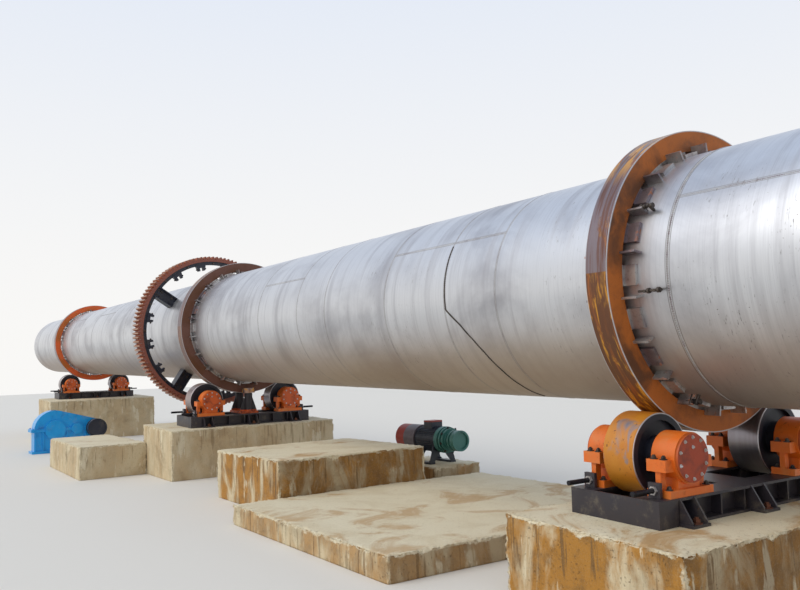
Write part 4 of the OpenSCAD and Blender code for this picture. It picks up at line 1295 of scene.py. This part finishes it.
class KILN_OT_motor(KilnOperator, bpy.types.Operator):
    """Paints the motor, its cowl and its coupling half and bolts the bell and the feet"""

    bl_idname = "kiln.motor"
    bl_label = "Motor"

    def execute(self, context):
        tint = finish_colours()
        dress(motor_material(), "motor_body")
        dress(cowl_material(), "motor_cowl")
        dress(paint_material("motor_coupling_enamel", tint.teal, tint.motor, 0.3, 0.4, 0.1), "motor_coupling")
        spin = Vector(JOINTS["motor_spin"]["pos_m"])
        low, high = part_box("motor_body")
        steel = bare_steel_material("motor_bolt_steel", tint.scuff, tint.motor, 0.4)
        spots = ring_spots(high.x - BELL_BOLT_BACK, BELL_BOLT_RING, BELL_BOLTS, (1, 0, 0), 0.2, spin.y, spin.z)
        for x in (low.x + foot for foot in MOTOR_FEET):
            for y in (low.y + MOTOR_FOOT_IN, high.y - MOTOR_FOOT_IN):
                spots.append(((x, y, low.z + MOTOR_FOOT_T), (0, 0, 1)))
        add_fasteners("motor_bolts", spots, MOTOR_BOLT, "foundation", steel)
        return {"FINISHED"}


class KILN_OT_stage(KilnOperator, bpy.types.Operator):
    """Sets up the floor, the light and the camera"""

    bl_idname = "kiln.stage"
    bl_label = "Stage"

    def execute(self, context):
        scene = context.scene
        scene.view_settings.view_transform = "Standard"
        mesh = bpy.data.meshes.new("floor")
        corners = [(x * FLOOR_HALF, y * FLOOR_HALF, -FLOOR_DROP) for x, y in ((-1, -1), (1, -1), (1, 1), (-1, 1))]
        mesh.from_pydata(corners, [], [(0, 1, 2, 3)])
        floor = bpy.data.objects.new("floor", mesh)
        scene.collection.objects.link(floor)
        s, tint = new_material("pale_floor")
        s.put(s.shader, Base_Color=tint.floor, Roughness=0.8)
        mesh.materials.append(s.made)

        world = bpy.data.worlds.new("studio")
        scene.world = world
        world.use_nodes = True
        sky = Shader(world.node_tree)
        background = world.node_tree.nodes["Background"]
        direction = sky.node("ShaderNodeTexCoord").outputs["Generated"]
        height = sky.band(sky.split(direction)[2], 0.0, 0.9)
        sky.set(background, "Color", sky.mix(height, SKY_LOW, SKY_HIGH))
        rays = sky.node("ShaderNodeLightPath").outputs
        mirrored = sky.most(rays["Is Glossy Ray"], rays["Is Transmission Ray"])
        shown = sky.most(rays["Is Camera Ray"], mirrored)
        sky.set(background, "Strength", sky.blend(shown, WORLD_LIGHT, 1.0))

        key = bpy.data.lights.new("key", "SUN")
        key.energy = SUN_LIGHT
        key.angle = math.radians(SUN_WIDTH)
        key.color = SUN_COLOUR
        lamp = bpy.data.objects.new("key", key)
        scene.collection.objects.link(lamp)
        lamp.rotation_euler = SUN_WAY.to_track_quat("-Z", "Y").to_euler()

        lens = bpy.data.cameras.new("photo_camera")
        lens.sensor_width = CAMERA_SENSOR
        lens.lens = CAMERA_LENS
        lens.clip_end = 500.0
        camera = bpy.data.objects.new("photo_camera", lens)
        scene.collection.objects.link(camera)
        yaw, pitch, roll = (math.radians(a) for a in CAMERA_TURN)
        look = Vector((-math.sin(yaw) * math.cos(pitch), math.cos(yaw) * math.cos(pitch), math.sin(pitch)))
        right = look.cross(Vector((0, 0, 1))).normalized()
        up = right.cross(look)
        right, up = (math.cos(roll) * right + math.sin(roll) * up, math.cos(roll) * up - math.sin(roll) * right)
        turn = Matrix((right, up, -look)).transposed().to_4x4()
        camera.matrix_world = Matrix.Translation(Vector(CAMERA_AT)) @ turn
        scene.camera = camera
        return {"FINISHED"}


OPERATORS = (KILN_OT_shell, KILN_OT_welds, KILN_OT_tyres, KILN_OT_gear, KILN_OT_rollers, KILN_OT_bearings,
             KILN_OT_frames, KILN_OT_concrete, KILN_OT_gearbox, KILN_OT_motor, KILN_OT_stage)


class KILN_PT_panel(bpy.types.Panel):
    """Lists the kiln's operators"""

    bl_idname = "KILN_PT_panel"
    bl_label = "Rotary kiln"
    bl_space_type = "VIEW_3D"
    bl_region_type = "UI"
    bl_category = "Kiln"

    def draw(self, context):
        for kind in OPERATORS:
            self.layout.operator(kind.bl_idname)


CLASSES = (KilnColours, KilnSizes, *OPERATORS, KILN_PT_panel)


def register():
    """Registers the classes and the scene's settings."""
    for kind in CLASSES:
        bpy.utils.register_class(kind)
    bpy.types.Scene.kiln_colours = bpy.props.PointerProperty(type=KilnColours)
    bpy.types.Scene.kiln_sizes = bpy.props.PointerProperty(type=KilnSizes)


def unregister():
    """Removes what register added."""
    del bpy.types.Scene.kiln_sizes
    del bpy.types.Scene.kiln_colours
    for kind in reversed(CLASSES):
        bpy.utils.unregister_class(kind)


def main():
    """Dresses the kiln."""
    register()
    for kind in OPERATORS:
        group, name = kind.bl_idname.split(".")
        getattr(getattr(bpy.ops, group), name)()


if __name__ == "__main__":
    main()
